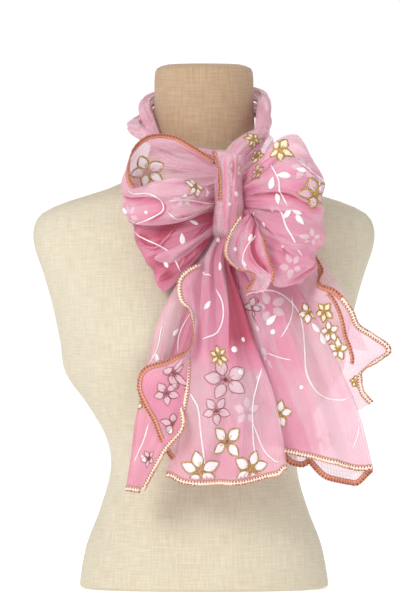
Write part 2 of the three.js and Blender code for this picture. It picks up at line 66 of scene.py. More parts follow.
# Folds of the cloth named first: place across, drift along, half width as a share, and depth
LEFT_LOOP_FOLDS = [
    (0.22, 0.1, 0.12, 4),
    (0.52, -0.1, 0.1, -3.5),
    (0.8, 0.05, 0.1, 4),
]
LEFT_DRAPE = [
    (13, -85, 404, 13, -85, 384, 0, 0.3),
    (-24, -84, 394, -9, -88, 352, 2, 0.8),
    (-60, -88, 387, -32, -98, 321, 3, 1),
    (-76, -98, 388, -43, -110, 314, 4, 0.8),
    (-66, -112, 389, -33, -113, 320, 5, 1),
    (-24, -110, 393, -8, -108, 348, 4, 1),
    (13, -94, 398, 13, -94, 377, 1, 0.3),
]
LEFT_DRAPE_FOLDS = [
    (0.3, 0, 0.13, 3),
    (0.7, 0.1, 0.12, -3),
]
RIGHT_LOOP_UPPER = [
    (39, -82, 441, 39, -82, 422, 0, 0.3),
    (61, -84, 458, 67, -80, 405, 3, 0.8),
    (80, -88, 476, 96, -82, 398, 5, 1),
    (97, -96, 479, 116, -90, 393, 8, 1),
    (106, -108, 467, 123, -106, 391, 9, 0.7),
    (101, -120, 472, 118, -122, 393, 9, 1),
    (80, -124, 474, 95, -131, 397, 9, 1),
    (61, -116, 455, 67, -122, 400, 6, 1),
    (39, -92, 436, 39, -92, 403, 1, 0.3),
]
RIGHT_LOOP_UPPER_FOLDS = [
    (0.2, 0, 0.1, -2.5),
    (0.48, -0.1, 0.12, 3),
    (0.78, 0, 0.09, -3),
]
RIGHT_LOOP_LOWER = [
    (39, -84, 404, 39, -84, 384, 0, 0.3),
    (67, -96, 406, 57, -100, 346, 3, 0.8),
    (99, -102, 401, 80, -108, 321, 5, 1),
    (123, -112, 388, 101, -116, 324, 7, 0.8),
    (119, -122, 396, 97, -126, 323, 8, 1),
    (93, -130, 402, 74, -132, 320, 6, 1),
    (63, -110, 408, 55, -117, 346, 3, 0.8),
    (39, -91, 407, 39, -91, 380, 0, 0.2),
]
RIGHT_LOOP_LOWER_FOLDS = [
    (0.25, 0.1, 0.11, 3.5),
    (0.5, 0, 0.09, -3.5),
    (0.76, -0.05, 0.1, 3.5),
]
RIGHT_FLARE = [
    (40, -98, 401, 40, -98, 387, 0, 0.2),
    (47, -122, 397, 53, -120, 385, 0, 0.3),
    (36, -138, 386, 59, -136, 373, -4, 0.6),
    (26, -150, 367, 63, -145, 360, -8, 1),
    (25, -156, 350, 67, -150, 346, -10, 1),
    (37, -158, 337, 71, -151, 332, -8, 1),
    (53, -156, 331, 67, -150, 320, -5, 0.6),
    (47, -148, 315, 61, -147, 313, -3, 0.4),
]
RIGHT_FLARE_FOLDS = [
    (0.6, 0.1, 0.14, 3),
]
LEFT_TAIL = [
    (12, -97, 372, 28, -97, 372, 1, 0.3),
    (0, -112, 346, 26, -112, 344, 3, 1),
    (-5, -128, 306, 39, -128, 304, 5, 1),
    (-13, -138, 258, 55, -138, 255, 6, 1),
    (-16, -141, 211, 72, -140, 209, 6, 1),
    (-25, -139, 167, 81, -138, 167, 5, 1),
    (-39, -134, 126, 85, -134, 129, 4, 1),
]
LEFT_TAIL_FOLDS = [
    (0.2, -0.1, 0.1, 3.5),
    (0.42, 0.1, 0.08, -3),
    (0.62, -0.15, 0.09, 4),
    (0.86, 0, 0.07, -3),
]
LEFT_RUFFLE = [
    (-4, -120, 342, 1, -113, 345, 0, 0),
    (-22, -131, 327, -2, -120, 325, 2, 0.4),
    (-22, -138, 308, -4, -128, 306, 3, 0.5),
    (-12, -144, 291, -6.5, -133, 282, 1, 0.3),
    (-13, -148, 259, -12, -138, 261, 0, 0.2),
    (-34, -152, 241, -13.5, -139, 245, 3, 0.5),
    (-59, -148, 232, -14.5, -140, 230, 5, 0.8),
    (-65, -142, 215, -15.5, -141, 217, 5, 0.8),
    (-58, -140, 197, -16, -141, 204, 4, 0.6),
    (-49, -142, 181, -18, -141, 191, 3, 0.5),
    (-43, -141, 165, -21, -140, 177, 2, 0.4),
    (-36, -139, 151, -25, -139, 163, 1, 0.3),
    (-30, -138, 142, -27, -138, 148, 0, 0.2),
]
LEFT_RUFFLE_FOLDS = [
    (0.45, 0, 0.2, 2.5),
]
LEFT_SIDE = [
    (12, -89, 372, 25, -89, 372, 0, 0.3),
    (-8, -100, 348, 18, -101, 346, 1, 0.8),
    (-31, -111, 318, 6, -113, 314, 2, 1),
    (-48, -120, 284, -4, -120, 282, 3, 1),
    (-57, -126, 248, -15, -124, 251, 3, 1),
    (-65, -127, 211, -31, -130, 215, 2, 1),
    (-72, -126, 179, -24, -149, 176, -3, 0.8),
    (-76, -122, 145, -43, -146, 150, -2, 0.6),
    (-81, -118, 112, -64, -138, 110, -1, 0.4),
]
LEFT_SIDE_FOLDS = [
    (0.3, 0.1, 0.12, 2.5),
    (0.65, 0, 0.12, -2.5),
]
RIGHT_TAIL = [
    (31, -89, 372, 41, -86, 372, 0, 0.3),
    (31, -95, 346, 61, -90, 346, 1, 0.8),
    (34, -104, 321, 95, -96, 325, 2, 1),
    (41, -117, 290, 115, -106, 290, 4, 1),
    (51, -128, 253, 133, -116, 253, 5, 1),
    (63, -130, 216, 150, -122, 216, 5, 1),
    (75, -128, 179, 164, -122, 179, 4, 1),
    (83, -125, 152, 176, -120, 131, 3, 1),
]
RIGHT_TAIL_FOLDS = [
    (0.3, 0.1, 0.09, -2.5),
    (0.55, 0, 0.1, 3),
    (0.8, -0.1, 0.08, -2.5),
]
RIGHT_TAIL_BACK = [
    (101, -108, 251, 132, -115.5, 253, -1, 0.4),
    (97, -111, 216, 149, -120, 216, -3, 0.8),
    (89, -111, 174, 162, -117, 179, -4, 1),
    (84, -110, 149, 176, -115, 131, -4, 1),
]
RIGHT_TAIL_BACK_FOLDS = [
    (0.35, 0, 0.12, -3),
]
RIGHT_RUFFLE = [
    (95.5, -97, 321, 113, -94, 349, 0, 0.2),
    (105, -101, 308, 120, -99, 335, 1, 0.3),
    (113, -105.5, 292, 119, -112, 319, 1, 0.3),
    (119, -108.5, 279, 136, -118, 311, 1, 0.4),
    (125, -112, 267, 150, -122, 294, 2, 0.5),
    (132, -115.5, 254, 158, -120, 277, 2, 0.5),
    (136, -118, 245, 174, -122, 266, 2, 0.4),
    (140, -119.5, 235, 190, -128, 253, 1, 0.2),
    (144.5, -121, 226, 175, -134, 241, 2, 0.3),
    (150.5, -122, 213, 161, -136, 228, 1, 0.3),
    (155.5, -122, 200, 162, -130, 210, 0, 0.2),
    (159, -122, 190, 172, -124, 197, 0, 0.1),
]
RIGHT_RUFFLE_FOLDS = [
    (0.5, 0, 0.2, 2),
]
RIGHT_SIDE = [
    (96, -94, 319, 124, -84, 350, 0, 0.2),
    (112.5, -104, 293, 147, -90, 312, 2, 0.8),
    (122, -109, 271, 162, -98, 276, 3, 1),
    (131.5, -115, 253, 171, -106, 253, 2, 0.8),
]
RIGHT_SIDE_FOLDS = [
    (0.5, 0.1, 0.14, 2.5),
]
KNOT_BAND = [
    (12, -106, 464, 40, -105, 463, 6, 0.5),
    (11, -106, 452, 41, -106, 451, 9, 0.8),
    (10.5, -105.2, 435, 41.3, -105.2, 433, 11, 1),
    (10.5, -105.2, 412, 41.3, -105.2, 410, 12, 1),
    (10.5, -105.2, 388, 41.3, -105.2, 387, 10, 1),
    (12.5, -105.2, 368, 40, -105.2, 367, 6, 0.7),
]
KNOT_BAND_FOLDS = [
    (0.2, 0, 0.07, -2),
    (0.42, 0.06, 0.07, 2),
    (0.62, -0.04, 0.06, -2),
    (0.82, 0, 0.07, 1.5),
]
KNOT_SHOULDER = [
    (62, -66, 488, 74, -62, 470, 3, 0.6),
    (46, -82, 482, 66, -78, 452, 5, 1),
    (29, -96, 470, 50, -93, 436, 5, 1),
    (20, -104, 456, 34, -103, 428, 3, 0.7),
    (17, -104, 436, 27, -104, 416, 1, 0.4),
]

# Sections of the form: height, half width, depth in front, depth behind and squareness
FORM_SECTIONS = [
    (0, 130, 96, 92, 2.3),
    (6, 132, 98, 94, 2.3),
    (45, 125, 93, 88, 2.3),
    (85, 110, 85, 80, 2.3),
    (126, 99, 78, 72, 2.2),
    (160, 104, 82, 76, 2.2),
    (195, 124, 91, 84, 2.2),
    (228, 147, 99, 92, 2.1),
    (262, 153, 102, 98, 2.1),
    (300, 161, 95, 100, 2.1),
    (335, 171, 83, 100, 2.1),
    (362, 180, 73, 97, 2),
    (382, 181, 67, 91, 2),
    (397, 173, 62, 84, 2),
    (408, 152, 59, 77, 2),
    (417, 124, 57, 71, 2),
    (426, 97, 55, 66, 2),
    (438, 76, 53, 62, 2),
    (454, 62, 52, 58, 2),
    (476, 55.5, 51, 56, 2),
    (510, 53, 51, 55, 2),
    (548, 52, 50, 54, 2),
    (556, 46, 44, 48, 2),
]

# Path between the strands: x, y, z, how far they have turned round it in half turns, and their radius
NECK_PATH = [
    (20, -84, 448, 0.5, 6),
    (6, -71, 451, 0.5, 6.5),
    (-14, -65, 453, 0.5, 7),
    (-36, -58, 461, 0.6, 7.2),
    (-58, -43, 479, 0.9, 7.4),
    (-67.5, -17, 495, 1.2, 7.4),
    (-62, 12, 506, 1.45, 7.4),
    (-48.5, 39.5, 514, 1.5, 7.4),
    (-26, 57.2, 519, 1.5, 7.4),
    (0, 62.6, 521, 1.5, 7.4),
    (28, 58, 521, 1.5, 7.4),
    (49.5, 38.5, 519, 1.5, 7.4),
    (61, 12, 513, 1.5, 7.4),
    (64, -16, 503, 1.5, 7.4),
    (62, -40, 490, 1.6, 7.4),
    (55, -62, 474, 1.8, 7),
    (44, -79, 460, 2, 6.5),
    (32, -90, 446, 2, 6),
]

# Waves across the free ends: count, depth and phase
LEFT_TAIL_WAVES = (3, 2.5, 1)
RIGHT_TAIL_WAVES = (2, 2.5, 0)
RIGHT_BACK_WAVES = (2, 4, 2)

# Fine gathers that run out from the knot: count across, depth, drift and phase
LOOP_GATHERS = [(6, 0.7, 1.6, 0.4), (11, 0.35, -2.1, 1.3), (3.4, 1.2, 1.0, 2.0)]
TAIL_GATHERS = [(7, 0.45, 0.5, 0.2), (13, 0.2, -0.4, 1.7), (4.1, 0.8, 0.3, 2.6)]
BAND_GATHERS = [(2.4, 2.2, 0.6, 0.9), (5, 1.2, -0.7, 0.5), (12, 0.3, -0.4, 1.1)]

# Ways that creases run in crumpled cloth: share across and along
CREASE_WAYS = ((1, 0.3), (-0.7, 1), (1.5, 0.9), (0.4, -1.7))

# Main creases: half width, height, painted shade beside them as added layers, reach of that shade, places
LEFT_LOOP_CREASES = [
    (2.2, 2.8, 4.5, 10, [
        (0.24, 0.585), (0.2, 0.66), (0.25, 0.73), (0.42, 0.785), (0.62, 0.8), (0.8, 0.775), (0.97, 0.71),
    ]),
    (2, 2.6, 5, 4, [(0.5, 0.8), (0.52, 0.85), (0.6, 0.91), (0.85, 0.98)]),
    (1.8, 2.2, -7, 5, [(0.82, 0.82), (0.93, 0.86), (0.94, 0.93), (0.92, 0.985)]),
    (2.4, 1.8, 2, 6, [(0.1, 0.97), (0.16, 0.88), (0.12, 0.78)]),
    (3, 2, -1.5, 6, [(0.35, 0.05), (0.45, 0.18), (0.4, 0.3)]),
]
LEFT_DRAPE_CREASES = [
    (2, 2.4, 4, 7, [(0.08, 0.9), (0.18, 0.8), (0.34, 0.74), (0.42, 0.68), (0.32, 0.62), (0.16, 0.62)]),
    (2.6, 2.6, -5, 8, [(0.3, 0.98), (0.5, 0.9), (0.66, 0.82), (0.9, 0.74)]),
    (1.8, 1.8, 3, 5, [(0.62, 0.98), (0.78, 0.9), (0.94, 0.85)]),
]
RIGHT_UPPER_CREASES = [
    (2.4, 2.8, -4, 8, [(0.7, 0.99), (0.66, 0.9), (0.72, 0.78), (0.84, 0.68), (0.9, 0.58)]),
    (2.2, 2.2, 3, 7, [(0.42, 0.98), (0.4, 0.9), (0.3, 0.8), (0.26, 0.72)]),
    (2, 1.8, -2.5, 5, [(0.12, 0.97), (0.1, 0.86), (0.16, 0.76)]),
    (2.6, 1.8, 2, 8, [(0.55, 0.75), (0.5, 0.66), (0.56, 0.56)]),
]
RIGHT_LOWER_CREASES = [
    (2.2, 2.8, -4, 9, [(0.2, 0.99), (0.26, 0.89), (0.38, 0.78), (0.52, 0.7), (0.58, 0.64)]),
    (2, 2.6, 4, 7, [(0.6, 0.97), (0.66, 0.88), (0.74, 0.82), (0.92, 0.79)]),
    (2.6, 2.2, -4, 8, [(0.93, 0.66), (0.84, 0.58), (0.62, 0.52), (0.3, 0.5)]),
    (2, 1.6, 2, 6, [(0.08, 0.9), (0.06, 0.74), (0.14, 0.6)]),
]
FLARE_CREASES = [
    (2, 2.6, 9, 8, [(0.75, 0.08), (0.62, 0.25), (0.6, 0.45), (0.72, 0.62), (0.95, 0.74)]),
    (1.6, 1.8, -3.5, 5, [(0.35, 0.12), (0.3, 0.35), (0.36, 0.6)]),
]
BAND_CREASES = [
    (1.6, 2, 3.4, 3, [(0.33, 0.03), (0.29, 0.3), (0.3, 0.6), (0.38, 0.97)]),
    (1.6, 2, -3.4, 3, [(0.7, 0.05), (0.74, 0.35), (0.68, 0.7), (0.62, 0.95)]),
    (1.4, 1.6, 1.2, 3, [(0.5, 0.05), (0.54, 0.3), (0.5, 0.7)]),
]

# Areas of double layers, painted shade and painted highlight: lowest and highest u, lowest and highest v,
# added layers and lean
# The first area paints deep shade along the tail's right edge, in the gap between the tails
LEFT_TAIL_LAYERS_AND_GAP_SHADE = [
    (0.67, 3, -1, 0.6, 6, -0.7),
    (0.13, 0.66, -1, 0.66, 1.1, -0.6),
    (-1, 0.2, 0.15, 0.5, 0.5, -0.2),
    (-3, 3, 0.72, 3, 0.6, 0),
]
RIGHT_TAIL_LAYERS = [
    (-3, 3, -1, 0.5, 0.7, 0),
    (-3, 0.3, -1, 0.34, 3, 0),
    (-3, 0.2, 0.3, 2, 0.8, 0.2),
    (0.35, 0.62, 0.2, 0.75, 0.7, -0.2),
]
LEFT_SIDE_LAYERS = [(0.55, 3, -1, 0.62, 1.3, 0), (-3, 0.06, -1, 3, 0.8, 0), (-3, 3, 0.62, 3, 1.5, 0)]
# The drape's added layers are painted shade, under the loop above and next to the knot
LEFT_DRAPE_LAYERS_AND_SHADE = [(-1, 3, 0.78, 3, 2.5, 0), (-1, 0.3, 0.5, 3, 1.5, 0), (0.4, 0.8, 0.52, 0.85, 2, 0.3)]
# Next to the knot, at both ends of a loop, the added layers are painted shade
LOOP_LAYERS_AND_KNOT_SHADE = [(-1, 3, 0.88, 3, 2.2, 0), (-1, 3, -1, 0.12, 1, 0), (0.42, 0.62, 0.5, 0.95, 0.9, 0.5)]
# Next to the knot the added layers are painted shade; the second area, with fewer layers, is paler
LEFT_LOOP_LAYERS_AND_SHADE = [
    (-1, 3, 0.93, 3, 2.4, 0),
    (-1, 3, 0.08, 0.36, -0.5, 0),
    (-1, 3, 0.36, 0.6, 0.5, 0),
    (0.3, 0.9, 0.52, 0.76, 1.3, 0),
]
RUFFLE_LAYERS = [(-1, 3, 0.4, 0.86, 1.5, 0), (-1, 3, -1, 0.3, 0.8, 0)]
# The second area is painted shade in the flare's opening
FLARE_LAYERS_AND_SHADE = [(-1, 3, -1, 0.3, 2, 0), (0.42, 0.75, 0, 0.75, 1.4, 0.2)]

# The form's bust: middle from the centre line, height, depth and reach
BUST_OUT = 78
BUST_HEIGHT = 262
BUST_DEPTH = 26
BUST_REACH = 55

# The rims of the form's base and of its neck: widths as shares, from the edge in
BASE_RIM = (0.972, 0.99, 0.998)
NECK_RIM = (0.86, 0.94, 0.985)

# The knot's hidden layers: foot, height, middle, half width and depth, squareness and mesh levels
KNOT_FOOT = 368.5
KNOT_HEIGHT = 85
KNOT_MIDDLE = (26, -89.5)
KNOT_HALF = (15.2, 13.8)
KNOT_SQUARE = 3.4
KNOT_LEVELS = 40

# The band: share of its width turned back at each edge, how far it is pinched, share of each bent end
BAND_TURNED = 0.16
BAND_PINCH = 0.26
BAND_END = 0.13

# The strands: radius, fullness of the pleats, turns and twist of each roll, and half their gap
STRAND_RADIUS = 7.4
PLEAT_FULLNESS = 1.12
ROLL_TURNS = 1.06
ROLL_TWIST = 1.5
STRAND_GAP = 0.85

# How far from a place, as a share of the cloth, its slopes are measured: for normals, prints, sections
NORMAL_STEP = 1e-3
SLOPE_STEP = 2e-3
SECTION_STEP = 0.01

# Creases: samples between places and at a fading end, layers taken off the ridge as a painted highlight and
# how wide that is
CREASE_SAMPLES = 10
CREASE_END = 8
RIDGE_HIGHLIGHT = 1.8
RIDGE_SHARE = 0.7

# Relief fades over this share of the width at each edge, and gathers by this share at a free end
EDGE_FADE = 0.08
FREE_END_FADE = 0.75

# Shade in valleys as a share of the layers and the depth for all of it, in crumpled and smoother cloth
CRUMPLED_SHADE = (0.36, 2.4)
SMOOTH_SHADE = (0.17, 1.2)
STEEP_SHADE = 1.5

# Where an area of double layers, painted shade or painted highlight starts and ends, its layers grow over
# these shares of width and length
DOUBLED_AND_SHADED_EDGE = (0.02, 0.16)

# Shares of the length where the waves of a free end and the drops of its hem begin
WAVE_START = 0.3
DROP_START = 0.72

# The edging across: share of its width and height off the cloth
EDGING_PROFILE = [(-0.07, 0.15), (0.1, 0.35), (0.35, 0.45), (0.62, 0.35), (0.86, 0.2), (1.0, 0.0)]

# Ripples along the edging: height, pitch and phase
EDGING_RIPPLES = [(0.22, 7.3, 0), (0.18, 4.1, 1)]
SCALLOP_DEPTH = 0.35

# The flat rectangle round a piece's cut: at least this much over its area, and at least so full
SPARE_CUT = 1.02
LEAST_FILLED = 0.31

# Pitch of the voile's faint crosswise lines, as a share of the ribs' pitch
CHECK_PITCH = 0.62

# The dark dots of the edging's look lie this many scallops apart
PICOT_SPACING = 1.4

# The inks in the order of their slots
INKS = ("white ink", "gold glitter", "white ink behind", "brown ink behind", "cream ink")

# Colour of each plain ink and how much it covers, then the gold's darkest and brightest grains
INK_LOOKS = {
    "white ink": ((0.93, 0.91, 0.91), 0.9),
    "white ink behind": ((0.95, 0.84, 0.87), 0.3),
    "cream ink": ((0.94, 0.84, 0.6), 0.9),
    "brown ink behind": ((0.36, 0.1, 0.1), 0.3),
}
GOLD_SHADE = (0.18, 0.085, 0.018)
GOLD_LIGHT = (0.74, 0.49, 0.15)

# Kinds of flower: ink of the petals, ink of their line or none, and the line's half width
FLOWER_KINDS = {
    "white": ("white ink", None, 0),
    "gilt": ("white ink", "gold glitter", 0.65),
    "cream": ("cream ink", "gold glitter", 0.75),
    "behind": ("white ink behind", "brown ink behind", 0.5),
    "faint": ("white ink behind", None, 0),
    "sheer": ("white ink behind", "gold glitter", 0.9),
    "bold": ("white ink", "gold glitter", 0.8),
}

# Flowers: u, v, radius, turn in degrees, petals, side (1 outer, -1 inner) and kind
FLOWERS = {
    "left_loop": [
        (0.4, 0.33, 20, 20, 5, -1, "bold"), (0.2, 0.9, 13, 60, 5, 1, "gilt"),
        (0.8, 0.46, 9, 0, 5, 1, "white"), (0.5, 0.86, 13, 0, 5, 1, "faint"),
        (0.75, 0.64, 13, 30, 5, 1, "faint"),
    ],
    "left_drape": [(0.7, 0.7, 15, 20, 5, -1, "faint"), (0.3, 0.3, 12, 0, 5, 1, "faint")],
    "right_loop_upper": [
        (0.72, 0.63, 19, 20, 5, 1, "sheer"), (0.14, 0.765, 13, -30, 5, 1, "cream"),
        (0.24, 0.9, 10, 15, 5, 1, "sheer"), (0.35, 0.36, 13, 40, 5, 1, "behind"),
        (0.42, 0.68, 14, 0, 5, 1, "faint"),
    ],
    "right_loop_lower": [
        (0.72, 0.66, 15, 30, 5, 1, "faint"), (0.35, 0.6, 13, 0, 5, 1, "faint"),
        (0.45, 0.3, 13, 0, 5, 1, "behind"),
    ],
    "left_tail": [
        (0.4, 0.535, 11, 8, 6, 1, "cream"), (0.47, 0.86, 21, 40, 4, 1, "gilt"),
        (0.27, 0.965, 22, 8, 5, 1, "gilt"), (0.71, 0.965, 23, -8, 5, 1, "gilt"),
        (0.45, 0.62, 25, 14, 5, 1, "behind"), (0.33, 0.74, 17, 40, 5, 1, "behind"),
        (0.66, 0.74, 18, 0, 5, 1, "faint"),
    ],
    "left_tail_middle": [
        (0.3, 0.4, 14, 40, 5, 1, "behind"), (0.35, 0.93, 15, 10, 5, 1, "behind"),
        (0.8, 0.66, 15, 0, 5, 1, "behind"),
    ],
    "left_ruffle": [
        (0.55, 0.49, 14, 10, 5, 1, "behind"), (0.5, 0.62, 15, 40, 5, 1, "behind"),
        (0.5, 0.8, 12, 0, 5, 1, "behind"),
    ],
    "left_tail_back": [(0.5, 0.75, 14, 30, 5, 1, "behind"), (0.4, 0.3, 12, 0, 5, 1, "behind")],
    "left_side": [
        (0.06, 0.665, 10, 80, 5, 1, "gilt"), (0.66, 0.76, 13, 15, 5, 1, "gilt"),
        (0.6, 0.575, 18, 30, 5, 1, "behind"), (0.4, 0.25, 13, 0, 5, 1, "behind"),
        (0.6, 0.9, 10, 30, 5, 1, "behind"),
    ],
    "right_tail": [
        (0.06, 0.825, 16, -8, 5, 1, "gilt"), (0.93, 0.42, 12, 30, 5, 1, "gilt"),
        (0.4, 0.4, 20, 20, 5, 1, "faint"), (0.12, 0.4, 14, 50, 5, 1, "behind"),
        (0.62, 0.26, 15, 0, 5, 1, "faint"),
    ],
    "right_tail_middle": [
        (0.55, 0.4, 17, 10, 5, 1, "behind"), (0.45, 0.6, 14, 40, 5, 1, "faint"),
        (0.8, 0.8, 15, 0, 5, 1, "faint"),
    ],
    "right_ruffle": [
        (0.88, 0.845, 7, 10, 6, 1, "cream"), (0.45, 0.27, 11, 30, 5, 1, "cream"),
        (0.25, 0.37, 12, 10, 5, 1, "gilt"), (0.2, 0.5, 11, 70, 5, 1, "gilt"),
    ],
    "right_tail_back": [(0.5, 0.8, 12, 30, 5, 1, "white")],
    "knot_shoulder": [
        (0.25, 0.3, 9, 10, 6, 1, "cream"), (0.7, 0.35, 10, 50, 6, 1, "cream"),
        (0.6, 0.72, 9, 20, 5, 1, "gilt"),
    ],
    "neck_outer": [
        (0.1, 0.9, 9, 10, 5, 1, "cream"), (0.4, 0.93, 8, 60, 5, 1, "cream"),
        (0.62, 0.86, 9, 30, 5, 1, "cream"),
    ],
    "neck_inner": [
        (0.15, 0.88, 9, 10, 5, 1, "cream"), (0.45, 0.92, 9, 60, 5, 1, "cream"),
        (0.8, 0.9, 9, 30, 5, 1, "cream"),
    ],
}

# Leaves: u, v, length, turn in degrees and side
LEAVES = {
    "left_loop": [(0.7, 0.6, 11, 60, 1), (0.3, 0.95, 9, 20, 1)],
    "left_drape": [
        (0.47, 0.8, 12, 12, 1), (0.21, 0.875, 9, 60, 1), (0.66, 0.73, 9, -50, 1),
        (0.7, 0.69, 8, 30, 1),
    ],
    "right_loop_upper": [
        (0.5, 0.765, 13, 85, 1), (0.57, 0.83, 13, -20, 1), (0.8, 0.82, 11, 190, 1),
        (0.44, 0.69, 10, 75, 1), (0.62, 0.6, 9, 30, 1),
    ],
    "right_loop_lower": [
        (0.06, 0.81, 11, 10, 1), (0.1, 0.735, 12, -40, 1), (0.05, 0.69, 10, 65, 1),
        (0.13, 0.675, 12, 215, 1), (0.55, 0.85, 9, 30, 1), (0.75, 0.8, 8, 100, 1),
    ],
    "right_flare": [(0.4, 0.6, 8, 30, 1), (0.6, 0.35, 8, -20, 1)],
    "left_tail": [(0.2, 0.36, 10, -30, 1), (0.62, 0.2, 9, 20, 1), (0.9, 0.6, 11, 40, -1)],
    "left_side": [(0.23, 0.515, 9, 15, 1), (0.5, 0.42, 9, -40, 1), (0.45, 0.9, 8, 30, 1)],
    "right_tail": [
        (0.93, 0.485, 11, 35, 1), (0.95, 0.53, 12, 8, 1), (0.12, 0.485, 9, 40, 1),
        (0.35, 0.455, 14, -45, 1),
    ],
    "right_side": [(0.5, 0.4, 10, 30, 1)],
}

# Dots: u, v, radius and side
DOTS = {
    "left_loop": [(0.4, 0.865, 2.2, 1), (0.65, 0.72, 1.8, 1)],
    "knot_band": [(0.69, 0.55, 3, 1), (0.5, 0.645, 2.2, 1)],
    "right_flare": [(0.22, 0.47, 2.6, 1)],
    "right_loop_lower": [(0.35, 0.82, 3, 1), (0.5, 0.72, 2, 1)],
    "left_tail": [
        (0.3, 0.03, 3.4, 1), (0.82, 0.47, 2.6, 1), (0.645, 0.51, 3.4, 1), (0.66, 0.59, 3.2, 1),
    ],
    "right_tail": [(0.33, 0.5, 3, 1), (0.43, 0.72, 2.4, 1)],
}

# Vines: width, side, then u and v of each point
VINES = {
    "left_loop": [
        (1.5, 1, [(0.1, 0.64), (0.2, 0.73), (0.42, 0.775), (0.65, 0.78), (0.79, 0.74), (0.97, 0.65)]),
        (1.2, 1, [(0.7, 0.79), (0.9, 0.83), (0.9, 0.9), (0.78, 0.96)]),
        (1.5, 1, [(0.48, 0.8), (0.5, 0.85), (0.58, 0.91), (0.76, 0.98)]),
    ],
    "left_drape": [(1.4, 1, [(0.14, 0.58), (0.38, 0.69), (0.62, 0.735), (0.93, 0.74)])],
    "right_loop_upper": [
        (1.5, 1, [(0.27, 0.82), (0.52, 0.795), (0.72, 0.8), (0.93, 0.78)]),
        (1.2, 1, [(0.3, 0.7), (0.5, 0.62), (0.55, 0.55)]),
    ],
    "right_loop_lower": [
        (1.9, 1, [(0.03, 0.83), (0.07, 0.775), (0.27, 0.715), (0.42, 0.67), (0.6, 0.62)]),
        (1.4, 1, [(0.2, 0.9), (0.45, 0.86), (0.8, 0.83)]),
    ],
    "right_flare": [(1.3, 1, [(0.8, 0.3), (0.5, 0.45), (0.3, 0.7)])],
    "left_tail": [
        (1.6, 1, [(0.04, 0.22), (0.1, 0.232), (0.28, 0.243)]),
        (1.7, 1, [(0.42, 0.29), (0.54, 0.345), (0.52, 0.405), (0.39, 0.452), (0.16, 0.478)]),
        (1.7, 1, [(0.97, 0.57), (0.82, 0.642), (0.73, 0.72), (0.715, 0.84), (0.76, 0.965)]),
        (1.5, 1, [(0.72, 0.79), (0.82, 0.9), (0.95, 0.97)]),
        (1.7, 1, [(0.02, 0.675), (0.13, 0.73), (0.205, 0.83), (0.3, 0.94)]),
        (1.3, -1, [(0.45, 0.74), (0.5, 0.8), (0.62, 0.86), (0.68, 0.9)]),
    ],
    "left_side": [
        (1.4, 1, [(0.14, 0.39), (0.16, 0.478), (0.04, 0.535)]),
        (1.4, 1, [(0.3, 0.755), (0.27, 0.84), (0.15, 0.91)]),
        (1.2, 1, [(0.75, 0.3), (0.6, 0.42), (0.7, 0.5)]),
    ],
    "right_tail": [
        (1.7, 1, [
            (0.03, 0.36), (0.2, 0.33), (0.48, 0.328), (0.73, 0.37), (0.79, 0.44), (0.66, 0.56),
            (0.55, 0.66), (0.58, 0.733), (0.7, 0.765), (0.86, 0.772), (0.97, 0.76),
        ]),
        (1.3, 1, [(0.8, 0.352), (0.7, 0.42), (0.52, 0.49), (0.4, 0.525)]),
        (1.3, 1, [(0.17, 0.585), (0.3, 0.6), (0.42, 0.613)]),
        (1.3, 1, [(0.96, 0.875), (0.9, 0.91), (0.81, 0.95)]),
        (1.1, -1, [(0.63, 0.667), (0.75, 0.71), (0.88, 0.728)]),
        (1.1, -1, [(0.2, 0.7), (0.3, 0.8), (0.28, 0.9)]),
    ],
    "right_side": [(1.2, 1, [(0.3, 0.1), (0.5, 0.5), (0.4, 0.9)])],
}

# The stage in metres: the place that the lamps light, the floor, the backdrop, and the camera's aim
LIT_PLACE = (0.03, -0.08, 0.3)
FLOOR_RADIUS = 4.2
FLOOR_BELOW = 0.0006
FLOOR_GLOW = 0.42
BACKDROP_STRENGTH = 1.05
CAMERA_LENS = 341.6
CAMERA_AIM = (-0.0042, -0.06, 0.3057)


def along(rows, t):
    """Smooth values between evenly spaced rows, t from 0 to 1, as in the solids."""
    rows = np.asarray(rows, float)
    last = len(rows) - 1
    at = np.clip(t, 0, 1) * last
    i = np.minimum(at.astype(int), last - 1)
    f = (at - i)[..., None]
    ends = np.vstack([2 * rows[0] - rows[1], rows, 2 * rows[-1] - rows[-2]])
    p, q, r, s = ends[i], ends[i + 1], ends[i + 2], ends[i + 3]
    return q + 0.5 * f * (r - p + f * (2 * p - 5 * q + 4 * r - s + f * (3 * (q - r) + s - p)))


def unit(vectors):
    """The same directions, one long."""
    return vectors / np.maximum(np.linalg.norm(vectors, axis=-1, keepdims=True), 1e-9)


